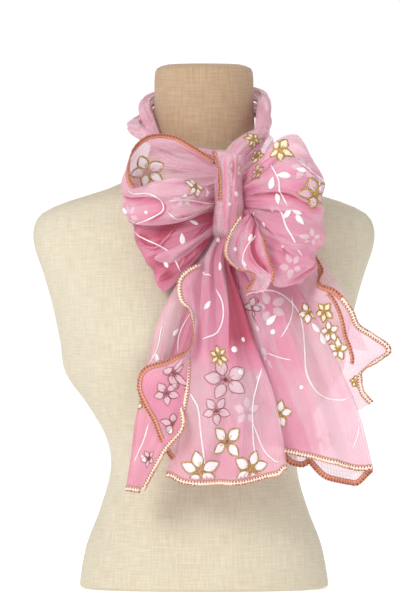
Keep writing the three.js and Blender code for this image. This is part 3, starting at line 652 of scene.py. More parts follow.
class Cloth:
    """One stretch of cloth as a surface: u goes from edge a to edge b, v along its sections."""

    def __init__(
        self, sections, folds, side=1, waves=None, gathers=(), layers=1, doubled_and_shaded=(), crumple=None,
        drops=(), creases=(),
    ):
        self.sections = np.array(sections, float)
        self.folds = folds
        self.side = side
        self.waves = waves
        self.gathers = gathers
        self.layers = layers
        self.doubled_and_shaded = doubled_and_shaded
        self.crumple = crumple
        self.drops = drops
        self.creases = creases
        widths = np.linalg.norm(self.sections[:, 3:6] - self.sections[:, 0:3], axis=1)
        self.width = widths.max()
        middle = (self.sections[:, 0:3] + self.sections[:, 3:6]) / 2
        self.length = np.linalg.norm(np.diff(middle, axis=0), axis=1).sum()
        # The two ends of a loop lie together at the knot
        self.closed = np.linalg.norm(middle[0] - middle[-1]) < 0.3 * self.length

    def creased(self, u, v):
        """Height of the main creases, with layers added and taken off: painted shade on one side and a
        painted highlight on the ridge.
        """
        u, v = np.broadcast_arrays(np.asarray(u, float), np.asarray(v, float))
        height = np.zeros(u.shape)
        added = np.zeros(u.shape)
        scale = np.array([self.width, self.length])
        here = np.stack([u, v], -1) * scale
        for half, rise, dark, reach, places in self.creases:
            line = along(places, np.linspace(0, 1, CREASE_SAMPLES * (len(places) - 1) + 1)) * scale
            gaps = here[..., None, :] - line
            nearest = np.hypot(gaps[..., 0], gaps[..., 1]).argmin(axis=-1)
            off = here - line[nearest]
            forward = unit(np.gradient(line, axis=0))[nearest]
            aside = (forward[..., 1] * off[..., 0] - forward[..., 0] * off[..., 1]) * np.sign(dark)
            apart = np.hypot(off[..., 0], off[..., 1])
            ends = np.clip(np.minimum(nearest, len(line) - 1 - nearest) / CREASE_END, 0, 1)
            height = height + rise * ends * np.exp(-(apart / half) ** 2)
            # Painted shade on one side of the crease and a painted highlight on its ridge, as layers added
            # and taken off
            shaded = np.exp(-(apart / reach) ** 2) * np.clip(aside / half, 0, 1)
            ridge = np.exp(-(apart / (RIDGE_SHARE * half)) ** 2)
            added = added + ends * (abs(dark) * shaded - RIDGE_HIGHLIGHT * ridge)
        return height, added

    def relief(self, u, v):
        """Height in millimetres of the gathers, which fade away from the knot, and of the creases."""
        height, _ = self.creased(u, v)
        near = np.abs(2 * v - 1) if self.closed else 1 - FREE_END_FADE * np.clip(v, 0, 1)
        for count, depth, drift, phase in self.gathers:
            # Sines of odd periods keep gathers and crumples uneven
            wander = drift * v + 0.35 * np.sin(5.1 * v + phase)
            fade = 0.35 + 0.65 * np.sin(3.7 * u + 4.9 * v + 2 * phase) ** 2
            height = height + depth * fade * near * np.cos(2 * np.pi * (count * u + wander) + phase)
        if self.crumple:
            depth, across, lengthwise, phase = self.crumple
            for k, (over, down) in enumerate(CREASE_WAYS):
                bend = 0.3 * np.sin(6.1 * u + phase + 2 * k) + 0.33 * np.sin(7.7 * v + 3.1 * k + phase)
                way = over * across * u + down * lengthwise * v + bend
                crease = np.abs(np.sin(np.pi * way + phase * k))
                height = height + depth * 0.72 ** k * (0.64 - crease)
        return height * np.clip(np.minimum(u, 1 - u) / EDGE_FADE, 0, 1)

    def at(self, u, v):
        """Places in millimetres."""
        u, v = np.broadcast_arrays(np.asarray(u, float), np.asarray(v, float))
        section = along(self.sections, v)
        a = section[..., 0:3]
        b = section[..., 3:6]
        ahead = along(self.sections, np.minimum(v + SECTION_STEP, 1))
        behind = along(self.sections, np.maximum(v - SECTION_STEP, 0))
        way = ahead[..., 0:3] + ahead[..., 3:6] - behind[..., 0:3] - behind[..., 3:6]
        out = unit(np.cross(way, b - a))
        height = section[..., 6] * 4 * u * (1 - u)
        for place, lean, width, depth in self.folds:
            off = (u - place - lean * (v - 0.5)) / width
            height = height + section[..., 7] * depth * np.exp(-off * off)
        if self.waves:
            count, depth, phase = self.waves
            grown = np.clip((v - WAVE_START) / (1 - WAVE_START), 0, 1)
            eased = grown * grown * (3 - 2 * grown)
            height = height + depth * np.cos(2 * np.pi * count * u + phase) * eased
        share = np.linalg.norm(b - a, axis=-1) / self.width
        height = height + share * self.relief(u, v)
        points = a + (b - a) * u[..., None] + out * (self.side * height)[..., None]
        for place, width, drop in self.drops:
            grown = np.clip((v - DROP_START) / (1 - DROP_START), 0, 1) ** 2
            amount = drop * np.exp(-((u - place) / width) ** 4) * grown
            points = points + unit(way) * amount[..., None]
        return points

    def outward(self, u, v):
        """Unit normal on the side that a loop or tail shows outside."""
        step = NORMAL_STEP
        across = self.at(np.minimum(u + step, 1), v) - self.at(np.maximum(u - step, 0), v)
        down = self.at(u, np.minimum(v + step, 1)) - self.at(u, np.maximum(v - step, 0))
        return unit(np.cross(down, across)) * self.side

    def moved(self, u, v, shift):
        """The u and v of the place that lies this shift in millimetres from one place, or from each."""
        low_u, high_u = max(u - SLOPE_STEP, 0), min(u + SLOPE_STEP, 1)
        low_v, high_v = max(v - SLOPE_STEP, 0), min(v + SLOPE_STEP, 1)
        across = (self.at(high_u, v) - self.at(low_u, v)) / (high_u - low_u)
        down = (self.at(u, high_v) - self.at(u, low_v)) / (high_v - low_v)
        return shift @ np.linalg.pinv(np.stack([across, down], -1)).T + np.array([u, v])

    def layers_and_painted_shade(self, u, v):
        """How many thicknesses of voile lie here, more where they lie double, with painted shade in valleys
        and on steep flanks.
        """
        layers = np.full(np.broadcast(u, v).shape, float(self.layers))
        grow_u, grow_v = DOUBLED_AND_SHADED_EDGE
        for u0, u1, v0, v1, more, lean in self.doubled_and_shaded:
            leant = u - lean * (v - 0.33)
            edge_u = np.clip((leant - u0) / grow_u, 0, 1) * np.clip((u1 - leant) / grow_u, 0, 1)
            edge_v = np.clip((v - v0) / grow_v, 0, 1) * np.clip((v1 - v) / grow_v, 0, 1)
            layers = layers + more * edge_u * edge_v
        height = self.relief(u, v)
        crumpled = self.crumple is not None and self.crumple[0] > 1
        valley, reach = CRUMPLED_SHADE if crumpled else SMOOTH_SHADE
        step = SLOPE_STEP
        tilt = (self.relief(u + step, v) - self.relief(u - step, v)) / (2 * step * self.width)
        pitch = (self.relief(u, v + step) - self.relief(u, v - step)) / (2 * step * self.length)
        steep = np.minimum(tilt * tilt + pitch * pitch, 0.6)
        shade = 1 + STEEP_SHADE * steep - valley * np.clip(height / reach, -1.6, 1)
        # Painted shade in valleys and on steep flanks; limits keep a fold from going black or bare
        bunched = layers * np.clip(shade, 0.4, 3.5)
        return np.maximum(bunched + self.creased(u, v)[1], 0.3)


def inner(sections, first, last, back):
    """The sections of a narrower layer behind these, its edges as shares of their width, top to foot."""
    rows = np.array(sections, float)
    a, b = rows[:, 0:3].copy(), rows[:, 3:6].copy()
    behind = np.linspace(0.2, 1, len(rows))[:, None] * [0, back, 0]
    rows[:, 0:3] = a + (b - a) * np.linspace(*first, len(rows))[:, None] + behind
    rows[:, 3:6] = a + (b - a) * np.linspace(*last, len(rows))[:, None] + behind
    return rows


def nested(sections, share, first, last):
    """The sections of a smaller fold inside a loop, between two shares of its width."""
    rows = np.array(sections, float)
    a, b = rows[:, 0:3].copy(), rows[:, 3:6].copy()
    middle = ((a + b) / 2).mean(axis=0)
    drawn = 1 - (1 - share) * np.sin(np.pi * np.linspace(0, 1, len(rows)))[:, None] ** 0.6
    rows[:, 0:3] = middle + (a + (b - a) * np.linspace(*first, len(rows))[:, None] - middle) * drawn
    rows[:, 3:6] = middle + (a + (b - a) * np.linspace(*last, len(rows))[:, None] - middle) * drawn
    return rows


class Strand(Cloth):
    """One of the two bunched strands round the neck: a pleated roll along the path."""

    def __init__(self, half):
        self.half = half
        self.crumple = None
        self.creases = ()
        self.side = 1
        self.layers = 1
        self.doubled_and_shaded = ()
        self.path = np.array(NECK_PATH, float)
        self.width = 2 * np.pi * STRAND_RADIUS * PLEAT_FULLNESS
        self.length = np.linalg.norm(np.diff(self.path[:, :3], axis=0), axis=1).sum()

    def relief(self, u, v):
        """Height of the pleats, for the shade in them."""
        roll = 2 * np.pi * ROLL_TURNS * u + ROLL_TWIST * v
        return 1.5 * np.cos(7 * roll + 9 * v) + 0.9 * np.cos(12 * roll - 14 * v + 1)

    def at(self, u, v):
        """Places in millimetres."""
        u, v = np.broadcast_arrays(np.asarray(u, float), np.asarray(v, float))
        row = along(self.path, v)
        middle = row[..., 0:3]
        ahead = along(self.path, np.minimum(v + SECTION_STEP, 1))[..., 0:3]
        behind = along(self.path, np.maximum(v - SECTION_STEP, 0))[..., 0:3]
        way = unit(ahead - behind)
        radial = np.stack([middle[..., 0], middle[..., 1] + 10, np.zeros_like(v)], -1)
        up = unit(np.cross(radial, way))
        out = unit(np.cross(way, up))
        turn = np.pi * (self.half + row[..., 3])
        radius = row[..., 4]
        offset = radius + STRAND_GAP
        roll = 2 * np.pi * ROLL_TURNS * u + turn + ROLL_TWIST * v
        pleats = 0.085 * np.cos(7 * roll + 9 * v) + 0.05 * np.cos(12 * roll - 14 * v + 1)
        pleats = pleats + 0.05 * np.cos(3 * roll + 25 * v) - 0.02
        tucked = 1 - 0.32 * np.clip((u - 0.94) / 0.06, 0, 1)
        reach = radius * (0.94 + pleats) * tucked
        sideways = offset * np.cos(turn) + reach * np.cos(roll)
        upwards = offset * np.sin(turn) + reach * np.sin(roll)
        return middle + out * sideways[..., None] + up * upwards[..., None]


def pick(*objects):
    """Selects these objects alone."""
    bpy.ops.object.select_all(action="DESELECT")
    for obj in objects:
        obj.select_set(True)
    bpy.context.view_layer.objects.active = objects[0]


def mesh_object(name, points, faces, materials, uvs=None, layers=None, slots=None):
    """A new object from points in millimetres, with a UV and a number of layers, painted shade included,
    for each point.
    """
    mesh = bpy.data.meshes.new(name)
    mesh.from_pydata((np.asarray(points) * MM).tolist(), [], faces)
    mesh.update()
    if uvs is not None:
        corners = np.empty(len(mesh.loops), int)
        mesh.loops.foreach_get("vertex_index", corners)
        layer = mesh.uv_layers.new(name="cloth")
        layer.data.foreach_set("uv", np.asarray(uvs, float)[corners].ravel())
    if layers is not None:
        attribute = mesh.attributes.new("layers", "FLOAT", "POINT")
        attribute.data.foreach_set("value", np.asarray(layers, float).ravel())
    for material in materials:
        mesh.materials.append(material)
    if slots is not None:
        mesh.polygons.foreach_set("material_index", np.asarray(slots, int))
    mesh.polygons.foreach_set("use_smooth", [True] * len(mesh.polygons))
    piece = bpy.data.objects.new(name, mesh)
    bpy.context.collection.objects.link(piece)
    return piece


def thicken(piece, thickness, back_slot=0, rim_slot=0):
    """Gives a sheet its thickness with Solidify, half to each side."""
    pick(piece)
    bpy.ops.object.modifier_add(type="SOLIDIFY")
    modifier = piece.modifiers[-1]
    modifier.thickness = thickness
    modifier.offset = 0
    modifier.material_offset = back_slot
    modifier.material_offset_rim = rim_slot
    bpy.ops.object.modifier_apply(modifier=modifier.name)


def grid(cloth, nu, nv, start=0):
    """Points, faces, UVs in metres of flat cloth, and layers with their painted shade, of one stretch, the
    faces outward.
    """
    u, v = np.meshgrid(np.linspace(0, 1, nu + 1), np.linspace(0, 1, nv + 1), indexing="xy")
    points = cloth.at(u, v).reshape(-1, 3)
    uvs = np.stack([u * cloth.width * MM, v * cloth.length * MM], -1).reshape(-1, 2)
    layers = cloth.layers_and_painted_shade(u, v).reshape(-1)
    i, j = np.meshgrid(np.arange(nu), np.arange(nv), indexing="xy")
    corner = start + j * (nu + 1) + i
    ring = [corner, corner + nu + 1, corner + nu + 2, corner + 1]
    if cloth.side < 0:
        ring.reverse()
    faces = np.stack(ring, -1).reshape(-1, 4).tolist()
    return points, faces, uvs, layers


def cloth_object(name, stretches, material, thickness):
    """One piece of cloth from stretches, each a Cloth with its count of cells across and along."""
    points, faces, uvs, layers = [], [], [], []
    for cloth, nu, nv in stretches:
        more = grid(cloth, nu, nv, sum(len(p) for p in points))
        points.append(more[0])
        faces.extend(more[1])
        uvs.append(more[2])
        layers.append(more[3])
    piece = mesh_object(name, np.vstack(points), faces, [material], np.vstack(uvs), np.concatenate(layers))
    thicken(piece, thickness)
    return piece


def flat_cut(stretches):
    """The flat width, length and area in metres that these stretches were cut to."""
    areas = []
    for cloth, nu, nv in stretches:
        u, v = np.meshgrid(np.linspace(0, 1, nu + 1), np.linspace(0, 1, nv + 1), indexing="xy")
        p = cloth.at(u, v)
        first = np.cross(p[1:, :-1] - p[:-1, :-1], p[:-1, 1:] - p[:-1, :-1])
        second = np.cross(p[1:, :-1] - p[1:, 1:], p[:-1, 1:] - p[1:, 1:])
        areas.append(0.5 * (np.linalg.norm(first, axis=-1) + np.linalg.norm(second, axis=-1)).sum())
    width = sum(cloth.width for cloth, _, _ in stretches)
    length = max(cloth.length for cloth, _, _ in stretches)
    area = sum(areas)
    if width * length < SPARE_CUT * area:
        width = SPARE_CUT * area / length
    if area < LEAST_FILLED * width * length:
        width = area / length / LEAST_FILLED
    return (width * MM, length * MM), area * MM * MM


def petal_outline(length, width, points=11):
    """A pointed flat oval in millimetres from its root at 0 to its tip, as two sides of points."""
    share = np.linspace(0, 1, points)
    half = width / 2 * np.sin(np.pi * share ** 0.82) ** 0.92 * (1 - 0.14 * share)
    half[0] = half[-1] = 0
    return np.stack([-half, share * length], -1), np.stack([half, share * length], -1)


def ribbon(left, right, columns):
    """Points and faces of a strip between two sides."""
    share = np.linspace(0, 1, columns + 1)[None, :, None]
    points = left[:, None, :] * (1 - share) + right[:, None, :] * share
    rows = len(left)
    faces = []
    for j in range(rows - 1):
        for i in range(columns):
            a = j * (columns + 1) + i
            faces.append((a, a + 1, a + columns + 2, a + columns + 1))
    return points.reshape(-1, 2), faces


def turned(points, angle):
    """Flat points turned about their root."""
    c, s = math.cos(angle), math.sin(angle)
    return points @ np.array([[c, s], [-s, c]])


class Print:
    """The printed shapes of one piece, laid on its stretches of cloth a hair's breadth out."""

    def __init__(self, lift):
        self.cloth = None
        self.lift = lift / MM
        self.points = []
        self.faces = []
        self.slots = []

    def lay(self, u, v, side, flat, faces, ink, up=0.0):
        """Lays a flat shape round a place on the cloth, upright to the view from outside."""
        normal = self.cloth.outward(np.array(u), np.array(v)) * side
        upright = np.array([0, 0, 1.0]) - normal * normal[2]
        upright = upright / max(np.linalg.norm(upright), 1e-6)
        right = np.cross(upright, normal)
        places = self.cloth.moved(u, v, flat[:, :1] * right + flat[:, 1:] * upright)
        inside = (places > 0.004).all(axis=1) & (places < 0.996).all(axis=1)
        self.add(places, inside, faces, side, ink, up)

    def add(self, places, inside, faces, side, ink, up):
        """Adds the faces that lie inside the cloth, each turned to face out."""
        start = sum(len(p) for p in self.points)
        u = np.clip(places[:, 0], 0, 1)
        v = np.clip(places[:, 1], 0, 1)
        outward = self.cloth.outward(u, v) * side
        points = self.cloth.at(u, v) + outward * (self.lift + up)
        self.points.append(points)
        for face in faces:
            if all(inside[k] for k in face):
                p = points[list(face)]
                facing = np.dot(np.cross(p[1] - p[0], p[2] - p[0]), outward[face[0]])
                if facing == 0 and len(face) > 3:
                    facing = np.dot(np.cross(p[2] - p[0], p[3] - p[0]), outward[face[0]])
                ring = face if facing >= 0 else tuple(reversed(face))
                self.faces.append([start + k for k in ring])
                self.slots.append(INKS.index(ink))

    def petal(self, u, v, side, length, width, angle, root, kind):
        """One petal with its line, from its root's distance to the flower's middle."""
        fill, line, rim = FLOWER_KINDS[kind]
        left, right = petal_outline(length, width)
        flat, faces = ribbon(left, right, 4)
        self.lay(u, v, side, turned(flat + [0, root], angle), faces, fill)
        if line:
            loop = np.vstack([left, right[-2:0:-1]])
            away = unit(loop - np.array([0, length / 2]))
            ring = len(loop)
            points = np.vstack([loop - away * 0.15, loop + away * 2 * rim])
            faces = [(k, (k + 1) % ring, ring + (k + 1) % ring, ring + k) for k in range(ring)]
            self.lay(u, v, side, turned(points + [0, root], angle), faces, line, up=0.08)

    def flower(self, u, v, radius, turn, petals, side, kind):
        """Uneven petals round a middle of short rays and a dot."""
        for k in range(petals):
            angle = math.radians(turn) + 2 * math.pi * k / petals + 0.09 * math.sin(2.3 * k + turn)
            length = radius * (0.72 + 0.06 * math.sin(1.7 * k + turn))
            width = length * (0.72 if petals < 6 else 0.55)
            self.petal(u, v, side, length, width, angle, radius * 0.2, kind)
        line = FLOWER_KINDS[kind][1]
        if line:
            rays = 3 * petals
            for k in range(rays):
                angle = math.radians(turn) + 2 * math.pi * (k + 0.5 * math.sin(k)) / rays
                reach = radius * (0.34 + 0.12 * math.sin(2.7 * k + turn))
                left = np.array([[-0.4, 0.0], [-0.3, reach]])
                flat, faces = ribbon(left, left * [-1, 1], 1)
                self.lay(u, v, side, turned(flat, angle), faces, line, up=0.1)
            self.dot(u, v, radius * 0.11, side, line)

    def leaf(self, u, v, length, turn, side):
        """One leaf about its middle."""
        left, right = petal_outline(length * 1.15, length * 0.56)
        flat, faces = ribbon(left, right, 4)
        self.lay(u, v, side, turned(flat - [0, length / 2], math.radians(turn)), faces, "white ink")

    def dot(self, u, v, radius, side, ink="white ink"):
        """A round dot of two rings about its middle."""
        count = 14
        angles = np.linspace(0, 2 * np.pi, count, endpoint=False)
        circle = np.stack([np.cos(angles), np.sin(angles)], -1)
        flat = np.vstack([[[0, 0]], circle * radius * 0.55, circle * radius])
        faces = []
        for k in range(count):
            after = (k + 1) % count
            faces.append((0, 1 + k, 1 + after))
        for k in range(count):
            after = (k + 1) % count
            faces.append((1 + k, 1 + count + k, 1 + count + after, 1 + after))
        self.lay(u, v, side, flat, faces, ink, up=0.1)

    def vine(self, width, side, points):
        """A line of even width with thin ends through these places."""
        count = 12 * (len(points) - 1)
        t = np.linspace(0, 1, count + 1)
        middle = along(points, t)
        there = self.cloth.at(middle[:, 0], middle[:, 1])
        forward = unit(np.gradient(there, axis=0))
        outward = self.cloth.outward(middle[:, 0], middle[:, 1])
        half = width / 2 * np.minimum(1, 0.35 + 6 * np.minimum(t, 1 - t))
        across = np.cross(forward, outward) * half[:, None]
        sides = np.array([[-1.0], [0.0], [1.0]])
        rows = [self.cloth.moved(*place, sides * shift) for place, shift in zip(middle, across)]
        places = np.concatenate(rows)
        faces = []
        for j in range(count):
            for i in range(2):
                a = 3 * j + i
                faces.append((a, a + 1, a + 4, a + 3))
        inside = (places >= 0).all(axis=1) & (places <= 1).all(axis=1)
        self.add(places, inside, faces, side, "white ink", 0.04)

    def object(self, name, thickness):
        """The print as one mesh, without the points whose faces fell outside the cloth."""
        materials = [bpy.data.materials[ink] for ink in INKS]
        piece = mesh_object(name, np.vstack(self.points), self.faces, materials, slots=self.slots)
        pick(piece)
        bpy.ops.object.mode_set(mode="EDIT")
        bpy.ops.mesh.select_all(action="SELECT")
        bpy.ops.mesh.delete_loose()
        bpy.ops.object.mode_set(mode="OBJECT")
        thicken(piece, thickness)
        return piece


def printed(name, stretches, settings):
    """The print of one piece of cloth, from the tables under its stretches' names, or None."""
    whole = Print(settings.print_lift)
    for part, cloth in stretches.items():
        whole.cloth = cloth
        for flower in FLOWERS.get(part, []):
            whole.flower(*flower)
        for leaf in LEAVES.get(part, []):
            whole.leaf(*leaf)
        for dot in DOTS.get(part, []):
            whole.dot(*dot)
        for vine in VINES.get(part, []):
            whole.vine(*vine)
    return whole.object(name, settings.print_thickness) if whole.faces else None


# Edges that edging is sewn to: u, v and the way in to the cloth, for shares t of the stretch
EDGES = {
    "a": lambda t, first, last: (np.zeros_like(t), first + (last - first) * t, (1, 0)),
    "b": lambda t, first, last: (np.ones_like(t), first + (last - first) * t, (-1, 0)),
    "seam": lambda t, first, last: (0.17 + 0.1 * t, first + (last - first) * t, (1, 0)),
    "fold": lambda t, first, last: (0.9 - 0.65 * t, first + (last - first) * t, (-1, 0)),
    "end": lambda t, first, last: (first + (last - first) * t, np.ones_like(t), (0, -1)),
}


def edging_object(name, cloth, edge, first, last, settings, turned_parts=(), share_of_width=1):
    """The sewn edging along one edge, with its copper side out along the turned parts, as shares."""
    probe = np.linspace(0, 1, 400)
    u, v, _ = EDGES[edge](probe, first, last)
    run = np.linalg.norm(np.diff(cloth.at(u, v), axis=0), axis=1)
    length = run.sum()
    travelled = np.concatenate([[0], np.cumsum(run)])
    pitch = settings.picot_pitch / MM
    picots = max(4, round(length / pitch))
    samples = np.linspace(0, length, 4 * picots + 1)
    t = np.interp(samples, travelled, probe)
    u, v, inwards = EDGES[edge](t, first, last)
    there = cloth.at(u, v)
    within = cloth.at(np.clip(u + inwards[0] * 0.02, 0, 1), np.clip(v + inwards[1] * 0.02, 0, 1))
    normal = cloth.outward(u, v)
    forward = unit(np.gradient(there, axis=0))
    out = np.cross(forward, normal)
    flip = np.sign((out * (there - within)).sum(axis=1).mean())
    out = unit(out * flip)
    width = settings.edging_width / MM * share_of_width
    scallop = SCALLOP_DEPTH * (1 - np.cos(2 * np.pi * samples / pitch))
    ripple = np.zeros_like(samples)
    for depth, apart, phase in EDGING_RIPPLES:
        ripple = ripple + depth * np.sin(2 * np.pi * samples / apart + phase)
    points, uvs = [], []
    for share, height in EDGING_PROFILE:
        reach = share * width + (scallop if share > 0.8 else 0)
        lift = height + ripple * max(share, 0)
        points.append(there + out * np.broadcast_to(reach, t.shape)[:, None] + normal * lift[:, None])
        uvs.append(np.stack([samples * MM, np.full_like(samples, max(share, 0))], -1))
    points = np.stack(points, 1)
    uvs = np.stack(uvs, 1)
    rows, count = points.shape[:2]
    faces, slots = [], []
    for j in range(rows - 1):
        place = samples[j] / length
        slot = 1 if any(low <= place <= high for low, high in turned_parts) else 0
        for i in range(count - 1):
            a = j * count + i
            faces.append((a, a + 1, a + count + 1, a + count))
            slots.append(slot)
    corner = points[0, 1] - points[0, 0], points[1, 0] - points[0, 0]
    if np.dot(np.cross(*corner), normal[0]) < 0:
        faces = [tuple(reversed(face)) for face in faces]
    looks = bpy.data.materials
    materials = [looks["ivory edging"], looks["copper edging"], looks["copper edging"]]
    piece = mesh_object(name, points.reshape(-1, 3), faces, materials, uvs.reshape(-1, 2), slots=slots)
    thicken(piece, settings.edging_thickness, back_slot=1, rim_slot=1)
    return piece


class Wire:
    """A number that flows between shader nodes, so that maths reads as an expression."""

    def __init__(self, shader, socket):
        self.shader = shader
        self.socket = socket

    def maths(self, operation, *values):
        """The result of a maths node that is fed these wires and numbers."""
        node = self.shader.node("ShaderNodeMath", {"operation": operation}, dict(enumerate(values)))
        return Wire(self.shader, node.outputs[0])

    def __add__(self, other):
        return self.maths("ADD", self, other)

    __radd__ = __add__

    def __sub__(self, other):
        return self.maths("SUBTRACT", self, other)

    def __rsub__(self, other):
        return self.maths("SUBTRACT", other, self)

    def __mul__(self, other):
        return self.maths("MULTIPLY", self, other)

    __rmul__ = __mul__

    def __truediv__(self, other):
        return self.maths("DIVIDE", self, other)

    def __pow__(self, other):
        return self.maths("POWER", self, other)

    def below(self, other):
        """1 where this is less, else 0."""
        return self.maths("LESS_THAN", self, other)

    def above(self, other):
        """1 where this is more, else 0."""
        return self.maths("GREATER_THAN", self, other)

    def wave(self):
        """From 0 to 1 and back for each whole number."""
        return self.maths("SINE", self * (2 * math.pi)) * 0.5 + 0.5

    def clamped(self):
        """The same number kept from 0 to 1."""
        return self.maths("MINIMUM", self.maths("MAXIMUM", self, 0), 1)


class Shader:
    """The node tree of one material."""

    def __init__(self, name, roughness, metallic=0.0, sheen=0.0):
        self.material = bpy.data.materials.new(name)
        self.material.use_nodes = True
        self.tree = self.material.node_tree
        self.surface = self.tree.nodes["Principled BSDF"]
        self.surface.inputs["Roughness"].default_value = roughness
        self.surface.inputs["Metallic"].default_value = metallic
        self.surface.inputs["Sheen Weight"].default_value = sheen

    def node(self, kind, settings=None, values=None):
        """A new node with its settings, its inputs fed by name or number."""
        node = self.tree.nodes.new(kind)
        for key, value in (settings or {}).items():
            setattr(node, key, value)
        for key, value in (values or {}).items():
            self.feed(node.inputs[key], value)
        return node

    def feed(self, socket, value):
        """Links a wire or a node's socket to an input, or sets a plain value."""
        if isinstance(value, Wire):
            value = value.socket
        if isinstance(value, bpy.types.NodeSocket):
            self.tree.links.new(value, socket)
        else:
            socket.default_value = value

    def set(self, name, value):
        """Feeds one input of the surface."""
        self.feed(self.surface.inputs[name], value)

    def uv(self):
        """The flat cloth's own coordinates in metres: the vector, then x and y alone."""
        place = self.node("ShaderNodeUVMap", {"uv_map": "cloth"})
        parts = self.node("ShaderNodeSeparateXYZ", None, {0: place.outputs[0]})
        return place.outputs[0], Wire(self, parts.outputs[0]), Wire(self, parts.outputs[1])

    def stretch(self, vector, x, y, z=1.0):
        """A vector with each axis scaled."""
        node = self.node("ShaderNodeVectorMath", {"operation": "MULTIPLY"}, {0: vector, 1: (x, y, z)})
        return node.outputs[0]

    def noise(self, vector, detail):
        """Soft noise from 0 to 1 at a place."""
        values = {"Vector": vector, "Scale": 1.0, "Detail": detail, "Roughness": 0.5}
        return Wire(self, self.node("ShaderNodeTexNoise", None, values).outputs["Fac"])

    def object_place_scaled(self, scale):
        """The place on the piece in metres, scaled alike on each axis."""
        place = self.node("ShaderNodeTexCoord").outputs["Object"]
        return self.stretch(place, scale, scale, scale)

    def blend(self, share, first, second):
        """A colour between two, each a colour or a node's colour socket."""
        values = {0: share}
        for key, colour in ((6, first), (7, second)):
            values[key] = colour if isinstance(colour, bpy.types.NodeSocket) else (*colour, 1)
        return self.node("ShaderNodeMix", {"data_type": "RGBA"}, values).outputs[2]

    def bump(self, height, distance, strength):
        """Fine relief that only the light sees."""
        values = {"Height": height, "Distance": distance, "Strength": strength}
        node = self.node("ShaderNodeBump", None, values)
        self.set("Normal", node.outputs[0])


def voile(settings):
    """Sheer crinkled cloth: fine ribs along it, uneven threads, deeper where layers lie double and where
    shade is painted.
    """
    shader = Shader("crinkled voile", roughness=0.62, sheen=0.3)
    place, x, y = shader.uv()
    wander = shader.noise(shader.stretch(place, 60, 22), detail=1)
    ribs = (x / settings.rib_pitch + wander * 0.9).wave()
    checks = (y / (settings.rib_pitch * CHECK_PITCH)).wave()
    threads = shader.noise(shader.stretch(place, 2200, 150), detail=1)
    crinkle = shader.noise(shader.stretch(place, 330, 130), detail=3)
    cloud = shader.noise(shader.object_place_scaled(26), detail=2)
    # The layers attribute holds real thicknesses together with painted shade and painted highlights
    counted = shader.node("ShaderNodeAttribute", {"attribute_name": "layers"})
    layers = Wire(shader, counted.outputs["Fac"])
    depth = layers * (0.6 + cloud * 0.8) + ribs * 0.75 + checks * 0.3 + crinkle * 0.25 - 1.15
    colour = shader.blend(depth * 0.5, settings.pale, settings.rose)
    shader.set("Base Color", shader.blend(depth * 0.24 - 0.52, colour, settings.deep))
    cover = settings.sheerness * (0.74 + ribs * 0.26 + checks * 0.09 + threads * 0.12 + crinkle * 0.04)
    shader.set("Alpha", 1 - (1 - cover) ** (layers.maths("MAXIMUM", layers, 0.7) * 0.5))
    shader.bump(ribs * 0.5 + crinkle * 1.4 + checks * 0.15, 0.0008, 0.6)
    return shader.material


def linen(settings):
    """Plain weave with slubs both ways, as on a covered dress form, with painted shade darkening the neck.
    """
    shader = Shader("linen weave", roughness=0.85, sheen=0.15)
    place, x, y = shader.uv()
    warp = (x / settings.thread_pitch).wave()
    weft = (y / settings.thread_pitch).wave()
    upright = shader.noise(shader.stretch(place, 700, 45), detail=2)
    level = shader.noise(shader.stretch(place, 45, 700), detail=2)
    cloud = shader.noise(shader.object_place_scaled(9), detail=2)
    share = warp * weft * 0.25 + upright * 1.1 + level * 1.1 + cloud * 0.3 - 0.95
    chest = shader.blend(share, settings.linen_shade, settings.linen_light)
    # The neck's colour: the linen in painted shade
    neck = shader.blend(share, settings.shaded_neck_shade, settings.shaded_neck_light)
    parts = shader.node("ShaderNodeSeparateXYZ", None, {0: shader.object_place_scaled(1)})
    height = Wire(shader, parts.outputs[2])
    # The neck's linen is painted darker as shade from a height of 0.407 m and is full at 0.479 m
    rise = (height * 14 - 5.7).clamped()
    shader.set("Base Color", shader.blend(rise, chest, neck))
    shader.bump(warp * weft + upright * 0.8 + level * 0.8, 0.0004, 0.6)
    return shader.material


def ink(name, colour, cover):
    """Printed ink, faintly mottled, that covers all or part of the cloth under it."""
    shader = Shader(name, roughness=0.45)
    mottle = shader.noise(shader.object_place_scaled(420), detail=1)
    tinted = tuple(c * t for c, t in zip(colour, (0.97, 0.86, 0.9)))
    shader.set("Base Color", shader.blend(mottle * 1.4 - 0.3, tinted, colour))
    shader.set("Alpha", cover * (0.92 + mottle * 0.14))
    shader.bump(mottle, 0.0002, 0.3)
    return shader.material


def glitter(name, dark, bright):
    """Gold glitter: grains that catch the light one by one."""
    shader = Shader(name, roughness=0.34, metallic=0.55)
    grains = shader.noise(shader.object_place_scaled(1500), detail=1)
    patches = shader.noise(shader.object_place_scaled(260), detail=1)
    share = (grains - 0.5) * 2.6 + patches * 0.8 + 0.12
    shader.set("Base Color", shader.blend(share, dark, bright))
    shader.bump(grains, 0.0004, 0.8)
    return shader.material


def ivory_edging(settings):
    """Crossed threads between two coral lines, with dark picots along the rim."""
    shader = Shader("ivory edging", roughness=0.5, sheen=0.2)
    place, x, y = shader.uv()
    step = x / settings.picot_pitch
    rising = (step + y * 1.6).wave()
    falling = (step * 0.5 - y * 1.1).wave()
    thread = shader.noise(shader.stretch(place, 1500, 4), detail=1)
    gate = shader.noise(shader.stretch(place, 38, 1), detail=0).above(0.5)
    share = rising * 0.35 + falling * 0.35 + thread * 0.4 - 0.35
    colour = shader.blend(share, settings.ivory, settings.salmon)
    lines = y.below(0.16) + y.above(0.78)
    colour = shader.blend(lines * (0.6 + rising * 0.35), colour, settings.coral)
    dots = (x / (settings.picot_pitch * PICOT_SPACING)).wave().above(0.5)
    rows = y.above(0.14) * y.below(0.42) + y.above(0.68) * y.below(0.9) * gate
    colour = shader.blend(dots * rows * 0.92, colour, settings.picot)
    shader.set("Base Color", colour)
    shader.bump(rising + falling * 0.7 + thread * 0.5, 0.0006, 0.6)
    return shader.material


